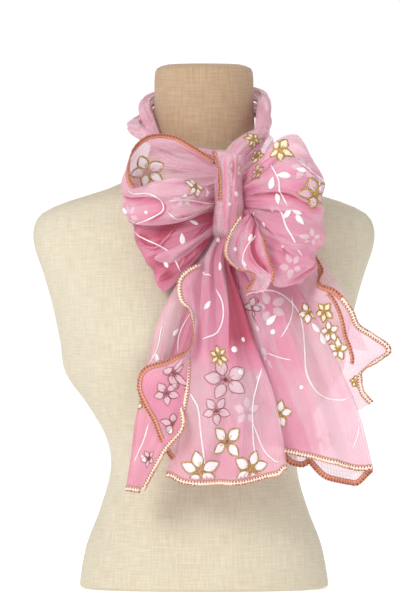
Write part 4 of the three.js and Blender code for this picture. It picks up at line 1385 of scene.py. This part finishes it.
def copper_edging(settings):
    """The back of the edging: close copper stitches across it."""
    shader = Shader("copper edging", roughness=0.38, metallic=0.2, sheen=0.2)
    place, x, y = shader.uv()
    stitches = (x / settings.picot_pitch * 2 + y * 0.6).wave()
    thread = shader.noise(shader.stretch(place, 1100, 5), detail=1)
    colour = shader.blend(stitches * 0.9 + thread * 0.5 - 0.2, settings.coral, settings.copper)
    spaced = (x / (settings.picot_pitch * PICOT_SPACING)).wave()
    shine = spaced.above(0.7) * y.above(0.1) * y.below(0.34)
    colour = shader.blend(shine * 0.45, colour, settings.ivory)
    dots = spaced.below(0.45) * y.above(0.62) * y.below(0.92)
    shader.set("Base Color", shader.blend(dots * 0.85, colour, settings.picot))
    shader.bump(stitches + thread * 0.5, 0.0006, 0.6)
    return shader.material


def ringed_body(name, sides, levels, place, material, span):
    """A closed body of extruded rings, set by place(angle, level); span(level) is metres a radian."""
    step = 0.01
    bpy.ops.object.select_all(action="DESELECT")
    bpy.ops.mesh.primitive_circle_add(vertices=sides, radius=0.1, fill_type="NGON")
    piece = bpy.context.active_object
    piece.name = name
    piece.data.name = name
    bpy.ops.object.mode_set(mode="EDIT")
    bpy.ops.mesh.select_all(action="SELECT")
    for _ in range(levels):
        bpy.ops.mesh.extrude_region_move(TRANSFORM_OT_translate={"value": (0, 0, step)})
    bpy.ops.object.mode_set(mode="OBJECT")
    mesh = piece.data
    raw = np.empty(3 * len(mesh.vertices))
    mesh.vertices.foreach_get("co", raw)
    raw = raw.reshape(-1, 3)
    angle = np.arctan2(raw[:, 1], raw[:, 0])
    level = np.rint(raw[:, 2] / step).astype(int)
    points = place(angle, level)
    mesh.vertices.foreach_set("co", (points * MM).ravel())
    layer = mesh.uv_layers.new(name="cloth")
    turn = np.mod(angle - np.pi / 2, 2 * np.pi)
    for face in mesh.polygons:
        corners = np.array([mesh.loops[k].vertex_index for k in face.loop_indices])
        turns = turn[corners]
        if turns.max() - turns.min() > np.pi:
            turns = np.where(turns < np.pi, turns + 2 * np.pi, turns)
        for k, one, corner in zip(face.loop_indices, turns, corners):
            layer.data[k].uv = ((one - np.pi) * span(level[corner]), points[corner, 2] * MM)
    bpy.ops.object.mode_set(mode="EDIT")
    bpy.ops.mesh.select_all(action="SELECT")
    bpy.ops.mesh.normals_make_consistent(inside=False)
    bpy.ops.object.mode_set(mode="OBJECT")
    pick(piece)
    bpy.ops.object.shade_smooth_by_angle(angle=math.radians(40))
    mesh.materials.append(material)
    mesh.update()
    return piece


def squared(angle, square):
    """Cosine and sine of a squarer circle: 2 is round, more is squarer."""
    c, s = np.cos(angle), np.sin(angle)
    return np.sign(c) * np.abs(c) ** (2 / square), np.sign(s) * np.abs(s) ** (2 / square)


def form_heights():
    """Heights up the form: close at the base's and the neck's rounded rims, even between."""
    low, high = FORM_SECTIONS[0][0], FORM_SECTIONS[-1][0]
    even = np.linspace(low + 6, high - 8, 84)
    return np.concatenate([[low, low + 0.8, low + 2.4], even, [high - 4, high - 1.4, high]])


def form_points(angle, level):
    """The torso's outline at each height, with its bust."""
    heights = form_heights()
    values = along(FORM_SECTIONS, np.linspace(0, 1, 2000))
    columns = [np.interp(heights, values[:, 0], values[:, k]) for k in range(1, 5)]
    rim = np.ones_like(heights)
    rim[:3] = BASE_RIM
    rim[-3:] = NECK_RIM[::-1]
    z = heights[level]
    half, front, back, square = (column[level] for column in columns)
    shrink = rim[level]
    c, s = squared(angle, square)
    x = half * c * shrink
    y = np.where(s < 0, front, back) * s * shrink
    for middle in (-BUST_OUT, BUST_OUT):
        off = np.hypot(x - middle, z - BUST_HEIGHT) / BUST_REACH
        y = y - np.where(y < 0, BUST_DEPTH * np.exp(-off * off) * np.minimum(1, -y / 20), 0)
    return np.stack([x, y, z], -1)


def knot_points(angle, level):
    """The knot's bunched layers: a rounded block pleated up and down, drawn in at both ends."""
    t = level / KNOT_LEVELS
    swell = np.sin(np.pi * np.clip(t, 0, 1)) ** 0.3
    pleats = 0.055 * np.cos(17 * angle + 3 * t) + 0.035 * np.cos(29 * angle - 5 * t) - 0.02
    reach = swell * (1 + pleats)
    c, s = squared(angle, KNOT_SQUARE)
    x = KNOT_MIDDLE[0] + KNOT_HALF[0] * c * reach
    y = KNOT_MIDDLE[1] + KNOT_HALF[1] * s * reach
    return np.stack([x, y, KNOT_FOOT + KNOT_HEIGHT * t], -1)


class Band(Cloth):
    """The band over the knot, its two edges turned back round the layers behind it."""

    def at(self, u, v):
        """Places in millimetres, pinched at the middle and bent back at both ends."""
        u, v = np.broadcast_arrays(np.asarray(u, float), np.asarray(v, float))
        points = super().at(np.clip((u - BAND_TURNED) / (1 - 2 * BAND_TURNED), 0, 1), v)
        left = np.clip(BAND_TURNED - u, 0, 1) / BAND_TURNED
        right = np.clip(u - 1 + BAND_TURNED, 0, 1) / BAND_TURNED
        pinch = 1 - BAND_PINCH * np.sin(np.pi * np.clip(v * 1.1, 0, 1)) ** 2
        top = np.clip(1 - v / BAND_END, 0, 1) ** 2
        foot = np.clip((v - 1 + BAND_END) / BAND_END, 0, 1) ** 2
        centre = KNOT_MIDDLE[0]
        points[..., 0] = centre + (points[..., 0] - centre) * pinch
        points[..., 0] += 1.8 * (np.sin(2.2 * right) - np.sin(2.2 * left))
        points[..., 0] += 2.5 * np.sin(2.8 * v + 0.4) - 1.2
        points[..., 1] += 10 * (left ** 1.3 + right ** 1.3) + 14 * top + 12 * foot
        points[..., 2] += 3 * foot - 4 * top + 3 * np.sin(5 * u) * top
        return points


def ride(piece, slot, *nodes):
    """A piece stands on the form's body and stands for these nodes; slot is not used."""
    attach(piece, "root")
    if nodes:
        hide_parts(*nodes)
    return piece


def hang(name, parts, node, edgings=()):
    """One piece of cloth with its print and its edgings, sewn on."""
    settings = bpy.context.scene.scarf
    rows = list(parts.values())
    piece = cloth_object(name, rows, bpy.data.materials["crinkled voile"], settings.cloth_thickness)
    ride(piece, "voile", *([node] if node else []))
    shown = printed(name + "_print", {part: row[0] for part, row in parts.items()}, settings)
    if shown:
        ride(shown, "voile")
    # An edging gives its width last, as a share, where that is less than the full one
    for trim, trim_node, cloth, edge, first, last, turned_parts, *share in edgings:
        strip = edging_object(trim, cloth, edge, first, last, settings, turned_parts, *share)
        ride(strip, "edging", *([trim_node] if trim_node else []))
    flat, area = flat_cut(rows)
    return piece


class ScarfSettings(bpy.types.PropertyGroup):
    """Sizes and colours of the cloth, its print and its edging"""

    cloth_thickness: bpy.props.FloatProperty(
        name="Cloth thickness", description="Thickness of the crinkled voile",
        default=0.0004, unit="LENGTH",
    )
    rib_pitch: bpy.props.FloatProperty(
        name="Rib pitch", description="Distance from one crinkle rib to the next",
        default=0.0032, unit="LENGTH",
    )
    sheerness: bpy.props.FloatProperty(
        name="Cover", description="How much one layer hides of what is behind it", default=0.5,
        min=0.0, max=1.0, subtype="FACTOR",
    )
    print_lift: bpy.props.FloatProperty(
        name="Print lift", description="From the cloth's middle to the print",
        default=0.00045, unit="LENGTH",
    )
    print_thickness: bpy.props.FloatProperty(
        name="Print thickness", description="Thickness of the printed ink",
        default=0.0001, unit="LENGTH",
    )
    edging_width: bpy.props.FloatProperty(
        name="Edging width", description="Width of the sewn edging", default=0.0052, unit="LENGTH"
    )
    edging_thickness: bpy.props.FloatProperty(
        name="Edging thickness", description="Thickness of the sewn edging",
        default=0.0011, unit="LENGTH",
    )
    picot_pitch: bpy.props.FloatProperty(
        name="Picot pitch", description="Distance between the loops of the rim",
        default=0.0022, unit="LENGTH",
    )
    # Pale pink also colours the painted highlights on crease ridges
    pale: bpy.props.FloatVectorProperty(
        name="Pale pink", description="One layer of the cloth",
        default=(0.96, 0.73, 0.80), subtype="COLOR",
    )
    rose: bpy.props.FloatVectorProperty(
        name="Rose", description="A few layers of the cloth",
        default=(0.82, 0.31, 0.45), subtype="COLOR",
    )
    # Deep rose also colours the painted shade in valleys, creases and gaps
    deep: bpy.props.FloatVectorProperty(
        name="Deep rose", description="Many layers of the cloth",
        default=(0.42, 0.05, 0.1), subtype="COLOR",
    )
    ivory: bpy.props.FloatVectorProperty(
        name="Ivory", description="Threads of the edging's face",
        default=(0.93, 0.80, 0.62), subtype="COLOR",
    )
    salmon: bpy.props.FloatVectorProperty(
        name="Salmon", description="Crossed threads of the edging",
        default=(0.85, 0.42, 0.36), subtype="COLOR",
    )
    coral: bpy.props.FloatVectorProperty(
        name="Coral", description="Outer threads of the edging",
        default=(0.52, 0.13, 0.085), subtype="COLOR",
    )
    copper: bpy.props.FloatVectorProperty(
        name="Copper", description="Threads of the edging's back",
        default=(0.66, 0.27, 0.15), subtype="COLOR",
    )
    picot: bpy.props.FloatVectorProperty(
        name="Picot", description="Dark loops along the rim",
        default=(0.13, 0.015, 0.02), subtype="COLOR",
    )


class DressFormSettings(bpy.types.PropertyGroup):
    """Size and colours of the form's linen"""

    thread_pitch: bpy.props.FloatProperty(
        name="Thread pitch", description="Distance between the linen's threads",
        default=0.0011, unit="LENGTH",
    )
    linen_light: bpy.props.FloatVectorProperty(
        name="Linen light", description="Raised threads of the linen",
        default=(0.75, 0.69, 0.54), subtype="COLOR",
    )
    # The neck's linen in painted shade: its raised and its sunk threads
    shaded_neck_light: bpy.props.FloatVectorProperty(
        name="Neck light", description="Raised threads of the neck's linen",
        default=(0.57, 0.41, 0.27), subtype="COLOR",
    )
    shaded_neck_shade: bpy.props.FloatVectorProperty(
        name="Neck shade", description="Sunk threads of the neck's linen",
        default=(0.40, 0.26, 0.155), subtype="COLOR",
    )
    linen_shade: bpy.props.FloatVectorProperty(
        name="Linen shade", description="Sunk threads of the linen",
        default=(0.57, 0.50, 0.37), subtype="COLOR",
    )


class StageSettings(bpy.types.PropertyGroup):
    """Floor, lights and camera"""

    floor_colour: bpy.props.FloatVectorProperty(
        name="Floor", description="Colour of the plain floor",
        default=(0.9, 0.89, 0.89), subtype="COLOR",
    )
    ambient: bpy.props.FloatProperty(
        name="Ambient", description="Strength of the light from all round", default=0.6
    )
    key_power: bpy.props.FloatProperty(
        name="Key power", description="Power of the soft main light", default=80, unit="POWER"
    )
    fill_power: bpy.props.FloatProperty(
        name="Fill power", description="Power of the soft side light", default=14, unit="POWER"
    )
    camera_distance: bpy.props.FloatProperty(
        name="Camera distance", description="From the camera to the knot", default=6.0, unit="LENGTH"
    )


class SCARF_OT_finishes(bpy.types.Operator):
    """Makes the materials of the cloth, print, edging and linen"""

    bl_idname = "scarf.finishes"
    bl_label = "Make finishes"

    def execute(self, context):
        scarf = context.scene.scarf
        voile(scarf)
        linen(context.scene.dress_form)
        for name, (colour, cover) in INK_LOOKS.items():
            ink(name, colour, cover)
        glitter("gold glitter", GOLD_SHADE, GOLD_LIGHT)
        ivory_edging(scarf)
        copper_edging(scarf)
        return {"FINISHED"}


class SCARF_OT_form(bpy.types.Operator):
    """Makes the limbless torso covered in linen"""

    bl_idname = "scarf.form"
    bl_label = "Make dress form"

    def execute(self, context):
        heights = form_heights()
        girth = np.interp(heights, [row[0] for row in FORM_SECTIONS], [row[1] for row in FORM_SECTIONS])
        material = bpy.data.materials["linen weave"]
        levels = len(heights) - 1
        piece = ringed_body(
            "linen_form", 112, levels, form_points, material, lambda level: 0.9 * girth[level] * MM
        )
        ride(piece, "linen", "dress_form")
        return {"FINISHED"}


class SCARF_OT_knot(bpy.types.Operator):
    """Makes the knot's bunched layers and the pleated band over them"""

    bl_idname = "scarf.knot"
    bl_label = "Make knot"

    def execute(self, context):
        material = bpy.data.materials["crinkled voile"]
        layers = ringed_body("knot_layers", 128, KNOT_LEVELS, knot_points, material, lambda level: 0.015)
        thickness = layers.data.attributes.new("layers", "FLOAT", "POINT")
        thickness.data.foreach_set("value", [1.6] * len(layers.data.vertices))
        ride(layers, "voile", "knot_core")
        band = Band(
            KNOT_BAND, KNOT_BAND_FOLDS, gathers=BAND_GATHERS, crumple=(1, 1.1, 1.4, 0.8),
            # Fewer layers over the band's top are a painted highlight
            creases=BAND_CREASES, layers=0.9, doubled_and_shaded=[(-1, 3, -1, 0.45, -0.4, 0)],
        )
        trims = [("knot_trim", None, band, "seam", 0.04, 0.62, [(0, 1)], 0.7)]
        hang("knot_front", {"knot_band": (band, 56, 80)}, "knot_band", trims)
        return {"FINISHED"}


class SCARF_OT_shoulder(bpy.types.Operator):
    """Makes the gathered cloth that rises from the knot into the right strand"""

    bl_idname = "scarf.shoulder"
    bl_label = "Make knot shoulder"

    def execute(self, context):
        rise = Cloth(
            KNOT_SHOULDER, [(0.3, 0, 0.12, 3), (0.62, 0.1, 0.12, -2.5), (0.85, 0, 0.08, 2)],
            gathers=BAND_GATHERS, crumple=(1, 1.4, 1.6, 2.2), layers=1.1,
        )
        hang("knot_rise", {"knot_shoulder": (rise, 44, 60)}, None)
        return {"FINISHED"}


class SCARF_OT_strands(bpy.types.Operator):
    """Makes the two bunched strands round the neck"""

    bl_idname = "scarf.strands"
    bl_label = "Make neck strands"

    def execute(self, context):
        for half, word in enumerate(("inner", "outer")):
            parts = {"neck_" + word: (Strand(half), 56, 170)}
            hang("neck_wrap_" + word, parts, "neck_strand_" + word)
        return {"FINISHED"}


class SCARF_OT_left_bow(bpy.types.Operator):
    """Makes the left loop with its edging and the fold that hangs under it"""

    bl_idname = "scarf.left_bow"
    bl_label = "Make left loop"

    def execute(self, context):
        loop = Cloth(
            LEFT_LOOP, LEFT_LOOP_FOLDS, -1, gathers=LOOP_GATHERS, crumple=(2.2, 1.6, 2.4, 0.7),
            creases=LEFT_LOOP_CREASES, layers=1.4, doubled_and_shaded=LEFT_LOOP_LAYERS_AND_SHADE,
        )
        fold = Cloth(
            nested(LEFT_LOOP, 0.8, (0.35, 0.0), (0.95, 0.62)),
            [(0.4, 0.3, 0.14, 5), (0.75, -0.2, 0.12, -4)],
            -1, gathers=LOOP_GATHERS, crumple=(1.6, 1.6, 2.4, 2.9), layers=0.8,
        )
        parts = {"left_loop": (loop, 80, 210), "left_loop_fold": (fold, 40, 120)}
        trims = [("left_loop_trim", "left_loop_edging", loop, "a", 0.02, 12 / 18, [(0, 1)], 0.85)]
        hang("left_bow", parts, "left_loop", trims)
        drape = Cloth(
            LEFT_DRAPE, LEFT_DRAPE_FOLDS, -1, gathers=LOOP_GATHERS, crumple=(1.6, 1.6, 2, 2.1),
            # Four layers paint the shade that the loop above casts on the drape
            creases=LEFT_DRAPE_CREASES, layers=4, doubled_and_shaded=LEFT_DRAPE_LAYERS_AND_SHADE,
        )
        fold = Cloth(
            nested(LEFT_DRAPE, 0.82, (0.1, 0.3), (0.75, 0.95)), [(0.5, 0.3, 0.16, 4)],
            -1, gathers=LOOP_GATHERS, crumple=(1.6, 2, 3, 0.9), layers=1.6,
        )
        parts = {"left_drape": (drape, 64, 150), "left_drape_fold": (fold, 36, 100)}
        hang("left_fold", parts, "left_drape")
        return {"FINISHED"}


class SCARF_OT_right_bow(bpy.types.Operator):
    """Makes the two right loops and the edged end that flares from the knot"""

    bl_idname = "scarf.right_bow"
    bl_label = "Make right loops"

    def execute(self, context):
        upper = Cloth(
            RIGHT_LOOP_UPPER, RIGHT_LOOP_UPPER_FOLDS, gathers=LOOP_GATHERS, crumple=(1.9, 1.6, 2.2, 1.9),
            creases=RIGHT_UPPER_CREASES, layers=1.6, doubled_and_shaded=LOOP_LAYERS_AND_KNOT_SHADE,
        )
        fold = Cloth(
            nested(RIGHT_LOOP_UPPER, 0.82, (0.3, 0.1), (0.9, 0.75)),
            [(0.4, 0.3, 0.14, 4), (0.7, 0, 0.1, -3)],
            gathers=LOOP_GATHERS, crumple=(2, 2.2, 3, 0.6), layers=1.4,
        )
        parts = {"right_loop_upper": (upper, 80, 180), "right_loop_upper_fold": (fold, 40, 110)}
        hang("right_bow_upper", parts, "right_loop_upper")
        lower = Cloth(
            RIGHT_LOOP_LOWER, RIGHT_LOOP_LOWER_FOLDS, gathers=LOOP_GATHERS, crumple=(2, 1.7, 2.2, 3.3),
            creases=RIGHT_LOWER_CREASES, layers=1.8, doubled_and_shaded=LOOP_LAYERS_AND_KNOT_SHADE,
        )
        fold = Cloth(
            nested(RIGHT_LOOP_LOWER, 0.84, (0.05, 0.3), (0.7, 0.95)),
            [(0.4, -0.3, 0.14, 4), (0.75, 0, 0.1, -3)],
            gathers=LOOP_GATHERS, crumple=(2, 2.2, 3.2, 5.2), layers=1.5,
        )
        parts = {"right_loop_lower": (lower, 80, 180), "right_loop_lower_fold": (fold, 40, 110)}
        hang("right_bow_lower", parts, "right_loop_lower")
        flare = Cloth(
            RIGHT_FLARE, RIGHT_FLARE_FOLDS, gathers=TAIL_GATHERS, crumple=(1.2, 1.4, 1.9, 0.4),
            creases=FLARE_CREASES, layers=1.1, doubled_and_shaded=FLARE_LAYERS_AND_SHADE,
        )
        inner_edging = "right_flare_inner_edging"
        trims = [
            ("right_flare_trim", "right_flare_edging", flare, "a", 4 / 16, 1, [(0.62, 1)]),
            ("right_flare_inner_trim", inner_edging, flare, "b", 5 / 16, 13 / 16, [(0, 1)], 0.45),
        ]
        parts = {"right_flare": (flare, 44, 90)}
        hang("right_end_flare", parts, "right_flare", trims)
        return {"FINISHED"}


class SCARF_OT_left_tail(bpy.types.Operator):
    """Makes the left tail with its ruffled edge, and the layer that hangs behind it"""

    bl_idname = "scarf.left_tail"
    bl_label = "Make left tail"

    def execute(self, context):
        tail = Cloth(
            LEFT_TAIL, LEFT_TAIL_FOLDS, waves=LEFT_TAIL_WAVES, gathers=TAIL_GATHERS,
            crumple=(0.5, 4, 2.6, 0.3), layers=1.3, doubled_and_shaded=LEFT_TAIL_LAYERS_AND_GAP_SHADE,
            drops=[(0.45, 0.4, 9), (0, 0.1, -3), (1, 0.06, -6)],
        )
        middle = Cloth(
            inner(LEFT_TAIL, (0.05, 0.22), (0.74, 0.7), 11),
            [(0.3, 0.2, 0.14, 2), (0.7, -0.2, 0.14, -2)],
            waves=(2, 1.5, 2), gathers=TAIL_GATHERS, crumple=(0.5, 3, 2.5, 1.3), layers=1.4,
        )
        back = Cloth(
            inner(LEFT_TAIL, (0.45, 0.52), (1.0, 0.86), 16), [(0.4, -0.2, 0.15, 2)],
            waves=(1.5, 1.5, 0), gathers=TAIL_GATHERS, crumple=(0.5, 3, 2, 2.3), layers=1.2,
        )
        ruffle = Cloth(
            LEFT_RUFFLE, LEFT_RUFFLE_FOLDS, crumple=(0.7, 1.5, 6, 1), layers=1.3, doubled_and_shaded=RUFFLE_LAYERS
        )
        trims = [
            ("left_tail_trim", "left_tail_hem", tail, "end", 0, 1, []),
            ("left_ruffle_trim", "left_ruffle_edging", ruffle, "a", 0, 1, [(0.38, 1)], 0.85),
            ("left_tail_side_trim", None, tail, "a", 0.55, 0.74, [], 0.8),
        ]
        parts = {
            "left_tail": (tail, 72, 140), "left_tail_middle": (middle, 44, 110),
            "left_tail_back": (back, 40, 100), "left_ruffle": (ruffle, 24, 110),
        }
        hang("left_tail_cloth", parts, "left_tail", trims)
        side = Cloth(
            LEFT_SIDE, LEFT_SIDE_FOLDS, gathers=TAIL_GATHERS, crumple=(0.7, 2.4, 4, 1.1),
            layers=1.3, doubled_and_shaded=LEFT_SIDE_LAYERS,
        )
        trims = [
            ("left_side_trim", "left_side_edging", side, "b", 0.53, 1, []),
            ("left_side_end_trim", "left_side_hem", side, "end", 0, 7 / 8, []),
        ]
        parts = {"left_side": (side, 32, 130)}
        hang("left_side_cloth", parts, "left_side", trims)
        return {"FINISHED"}


class SCARF_OT_right_tail(bpy.types.Operator):
    """Makes the right tail of front, back, ruffled edge and outer side, with its edgings"""

    bl_idname = "scarf.right_tail"
    bl_label = "Make right tail"

    def execute(self, context):
        tail = Cloth(
            RIGHT_TAIL, RIGHT_TAIL_FOLDS, waves=RIGHT_TAIL_WAVES, gathers=TAIL_GATHERS,
            crumple=(0.45, 4, 2.4, 1.3), layers=1.5, doubled_and_shaded=RIGHT_TAIL_LAYERS,
            drops=[(1, 0.07, -2.5), (0.75, 0.12, 2)],
        )
        middle = Cloth(
            inner(RIGHT_TAIL, (-0.3, 0.02), (0.6, 0.42), 6),
            [(0.35, 0.2, 0.14, 1.5), (0.7, -0.2, 0.14, -1.5)],
            gathers=TAIL_GATHERS, crumple=(0.5, 3, 2.5, 0.5), layers=1.6,
        )
        # A real layer behind the tail's edge, six layers deep: it paints the shade in the gap between the
        # tails
        deep = Cloth(
            inner(RIGHT_TAIL, (-0.7, -0.36), (0.3, 0.12), 3), [(0.35, 0.2, 0.14, 1.5)],
            gathers=TAIL_GATHERS, crumple=(0.6, 3, 2.5, 2.5), layers=6,
        )
        back = Cloth(
            RIGHT_TAIL_BACK, RIGHT_TAIL_BACK_FOLDS, waves=RIGHT_BACK_WAVES,
            drops=[(0.13, 0.12, 10), (0.6, 0.27, 19), (0.85, 0.1, 3)],
        )
        ruffle = Cloth(RIGHT_RUFFLE, RIGHT_RUFFLE_FOLDS, crumple=(0.6, 1.5, 7, 2), layers=1.3)
        side = Cloth(RIGHT_SIDE, RIGHT_SIDE_FOLDS, crumple=(0.6, 2, 3, 1), layers=1.2)
        trims = [
            ("right_tail_trim", "right_tail_hem", tail, "end", 0, 1, []),
            ("right_tail_back_trim", "right_tail_back_hem", back, "end", 0, 1, [(0, 1)]),
            ("right_ruffle_trim", "right_ruffle_edging", ruffle, "b", 0, 1, [(0, 0.3)]),
            ("right_fold_trim", None, ruffle, "fold", 0.24, 0.64, [(0, 1)], 0.6),
        ]
        parts = {
            "right_tail": (tail, 72, 130), "right_tail_middle": (middle, 40, 100),
            "right_tail_deep": (deep, 36, 100), "right_tail_back": (back, 44, 70),
            "right_ruffle": (ruffle, 24, 120), "right_side": (side, 24, 50),
        }
        hang("right_tail_cloth", parts, "right_tail", trims)
        return {"FINISHED"}


class SCARF_OT_stage(bpy.types.Operator):
    """Makes the pale floor, the soft lights and the camera"""

    bl_idname = "scarf.stage"
    bl_label = "Make stage"

    def light(self, name, power, size, place):
        """A soft lamp that looks at the knot's foot."""
        data = bpy.data.lights.new(name, "AREA")
        data.energy = power
        data.size = size
        lamp = bpy.data.objects.new(name, data)
        lamp.location = place
        way = Vector(LIT_PLACE) - Vector(place)
        lamp.rotation_euler = way.to_track_quat("-Z", "Y").to_euler()
        bpy.context.collection.objects.link(lamp)

    def execute(self, context):
        stage = context.scene.stage
        bpy.ops.object.select_all(action="DESELECT")
        bpy.ops.mesh.primitive_circle_add(
            vertices=96, radius=FLOOR_RADIUS, fill_type="NGON", location=(0, 0, -FLOOR_BELOW)
        )
        floor = context.active_object
        floor.name = "floor"
        paint = Shader("floor", roughness=0.8)
        grain = paint.noise(paint.object_place_scaled(3), detail=2)
        darker = tuple(c * 0.985 for c in stage.floor_colour)
        paint.set("Base Color", paint.blend(grain, darker, stage.floor_colour))
        paint.surface.inputs["Emission Color"].default_value = (1, 1, 1, 1)
        paint.surface.inputs["Emission Strength"].default_value = FLOOR_GLOW
        floor.data.materials.append(paint.material)

        world = bpy.data.worlds.new("studio")
        world.use_nodes = True
        context.scene.world = world
        tree = world.node_tree
        around = tree.nodes["Background"]
        around.inputs["Color"].default_value = (1, 1, 1, 1)
        around.inputs["Strength"].default_value = stage.ambient
        behind = tree.nodes.new("ShaderNodeBackground")
        behind.inputs["Color"].default_value = (1, 1, 1, 1)
        behind.inputs["Strength"].default_value = BACKDROP_STRENGTH
        path = tree.nodes.new("ShaderNodeLightPath")
        mix = tree.nodes.new("ShaderNodeMixShader")
        tree.links.new(path.outputs["Is Camera Ray"], mix.inputs[0])
        tree.links.new(around.outputs[0], mix.inputs[1])
        tree.links.new(behind.outputs[0], mix.inputs[2])
        tree.links.new(mix.outputs[0], tree.nodes["World Output"].inputs["Surface"])

        self.light("key", stage.key_power, 1.5, (-1.9, -2.7, 2.3))
        self.light("fill", stage.fill_power, 1.6, (2.4, -2.3, 1.0))
        self.light("back", stage.fill_power * 0.8, 1.6, (0.6, 2.8, 2.0))

        data = bpy.data.cameras.new("camera")
        data.lens = CAMERA_LENS
        data.clip_end = 100
        camera = bpy.data.objects.new("camera", data)
        side, knot, height = CAMERA_AIM
        camera.location = (side, knot - stage.camera_distance, height)
        camera.rotation_euler = (math.radians(90), 0, 0)
        context.collection.objects.link(camera)
        context.scene.camera = camera
        context.scene.view_settings.view_transform = "Standard"
        context.scene.cycles.transparent_max_bounces = 64
        return {"FINISHED"}


OPERATORS = (
    SCARF_OT_finishes, SCARF_OT_form, SCARF_OT_knot, SCARF_OT_shoulder, SCARF_OT_strands, SCARF_OT_left_bow,
    SCARF_OT_right_bow, SCARF_OT_left_tail, SCARF_OT_right_tail, SCARF_OT_stage,
)


class SCARF_PT_panel(bpy.types.Panel):
    """Lists the scarf's sizes, colours and steps"""

    bl_idname = "SCARF_PT_panel"
    bl_label = "Scarf"
    bl_space_type = "VIEW_3D"
    bl_region_type = "UI"
    bl_category = "Scarf"

    def draw(self, context):
        for group in (context.scene.scarf, context.scene.dress_form, context.scene.stage):
            for name in group.__annotations__:
                self.layout.prop(group, name)
        for operator in OPERATORS:
            self.layout.operator(operator.bl_idname)


GROUPS = {"scarf": ScarfSettings, "dress_form": DressFormSettings, "stage": StageSettings}


def register():
    """Adds the groups, operators and panel."""
    for name, group in GROUPS.items():
        bpy.utils.register_class(group)
        setattr(bpy.types.Scene, name, bpy.props.PointerProperty(type=group))
    for operator in OPERATORS:
        bpy.utils.register_class(operator)
    bpy.utils.register_class(SCARF_PT_panel)


def unregister():
    """Takes the panel, operators and groups out again."""
    bpy.utils.unregister_class(SCARF_PT_panel)
    for operator in reversed(OPERATORS):
        bpy.utils.unregister_class(operator)
    for name, group in GROUPS.items():
        delattr(bpy.types.Scene, name)
        bpy.utils.unregister_class(group)


def main():
    """Makes every piece and the stage."""
    register()
    bpy.ops.scarf.finishes()
    bpy.ops.scarf.form()
    bpy.ops.scarf.knot()
    bpy.ops.scarf.shoulder()
    bpy.ops.scarf.strands()
    bpy.ops.scarf.left_bow()
    bpy.ops.scarf.right_bow()
    bpy.ops.scarf.left_tail()
    bpy.ops.scarf.right_tail()
    bpy.ops.scarf.stage()


if __name__ == "__main__":
    main()
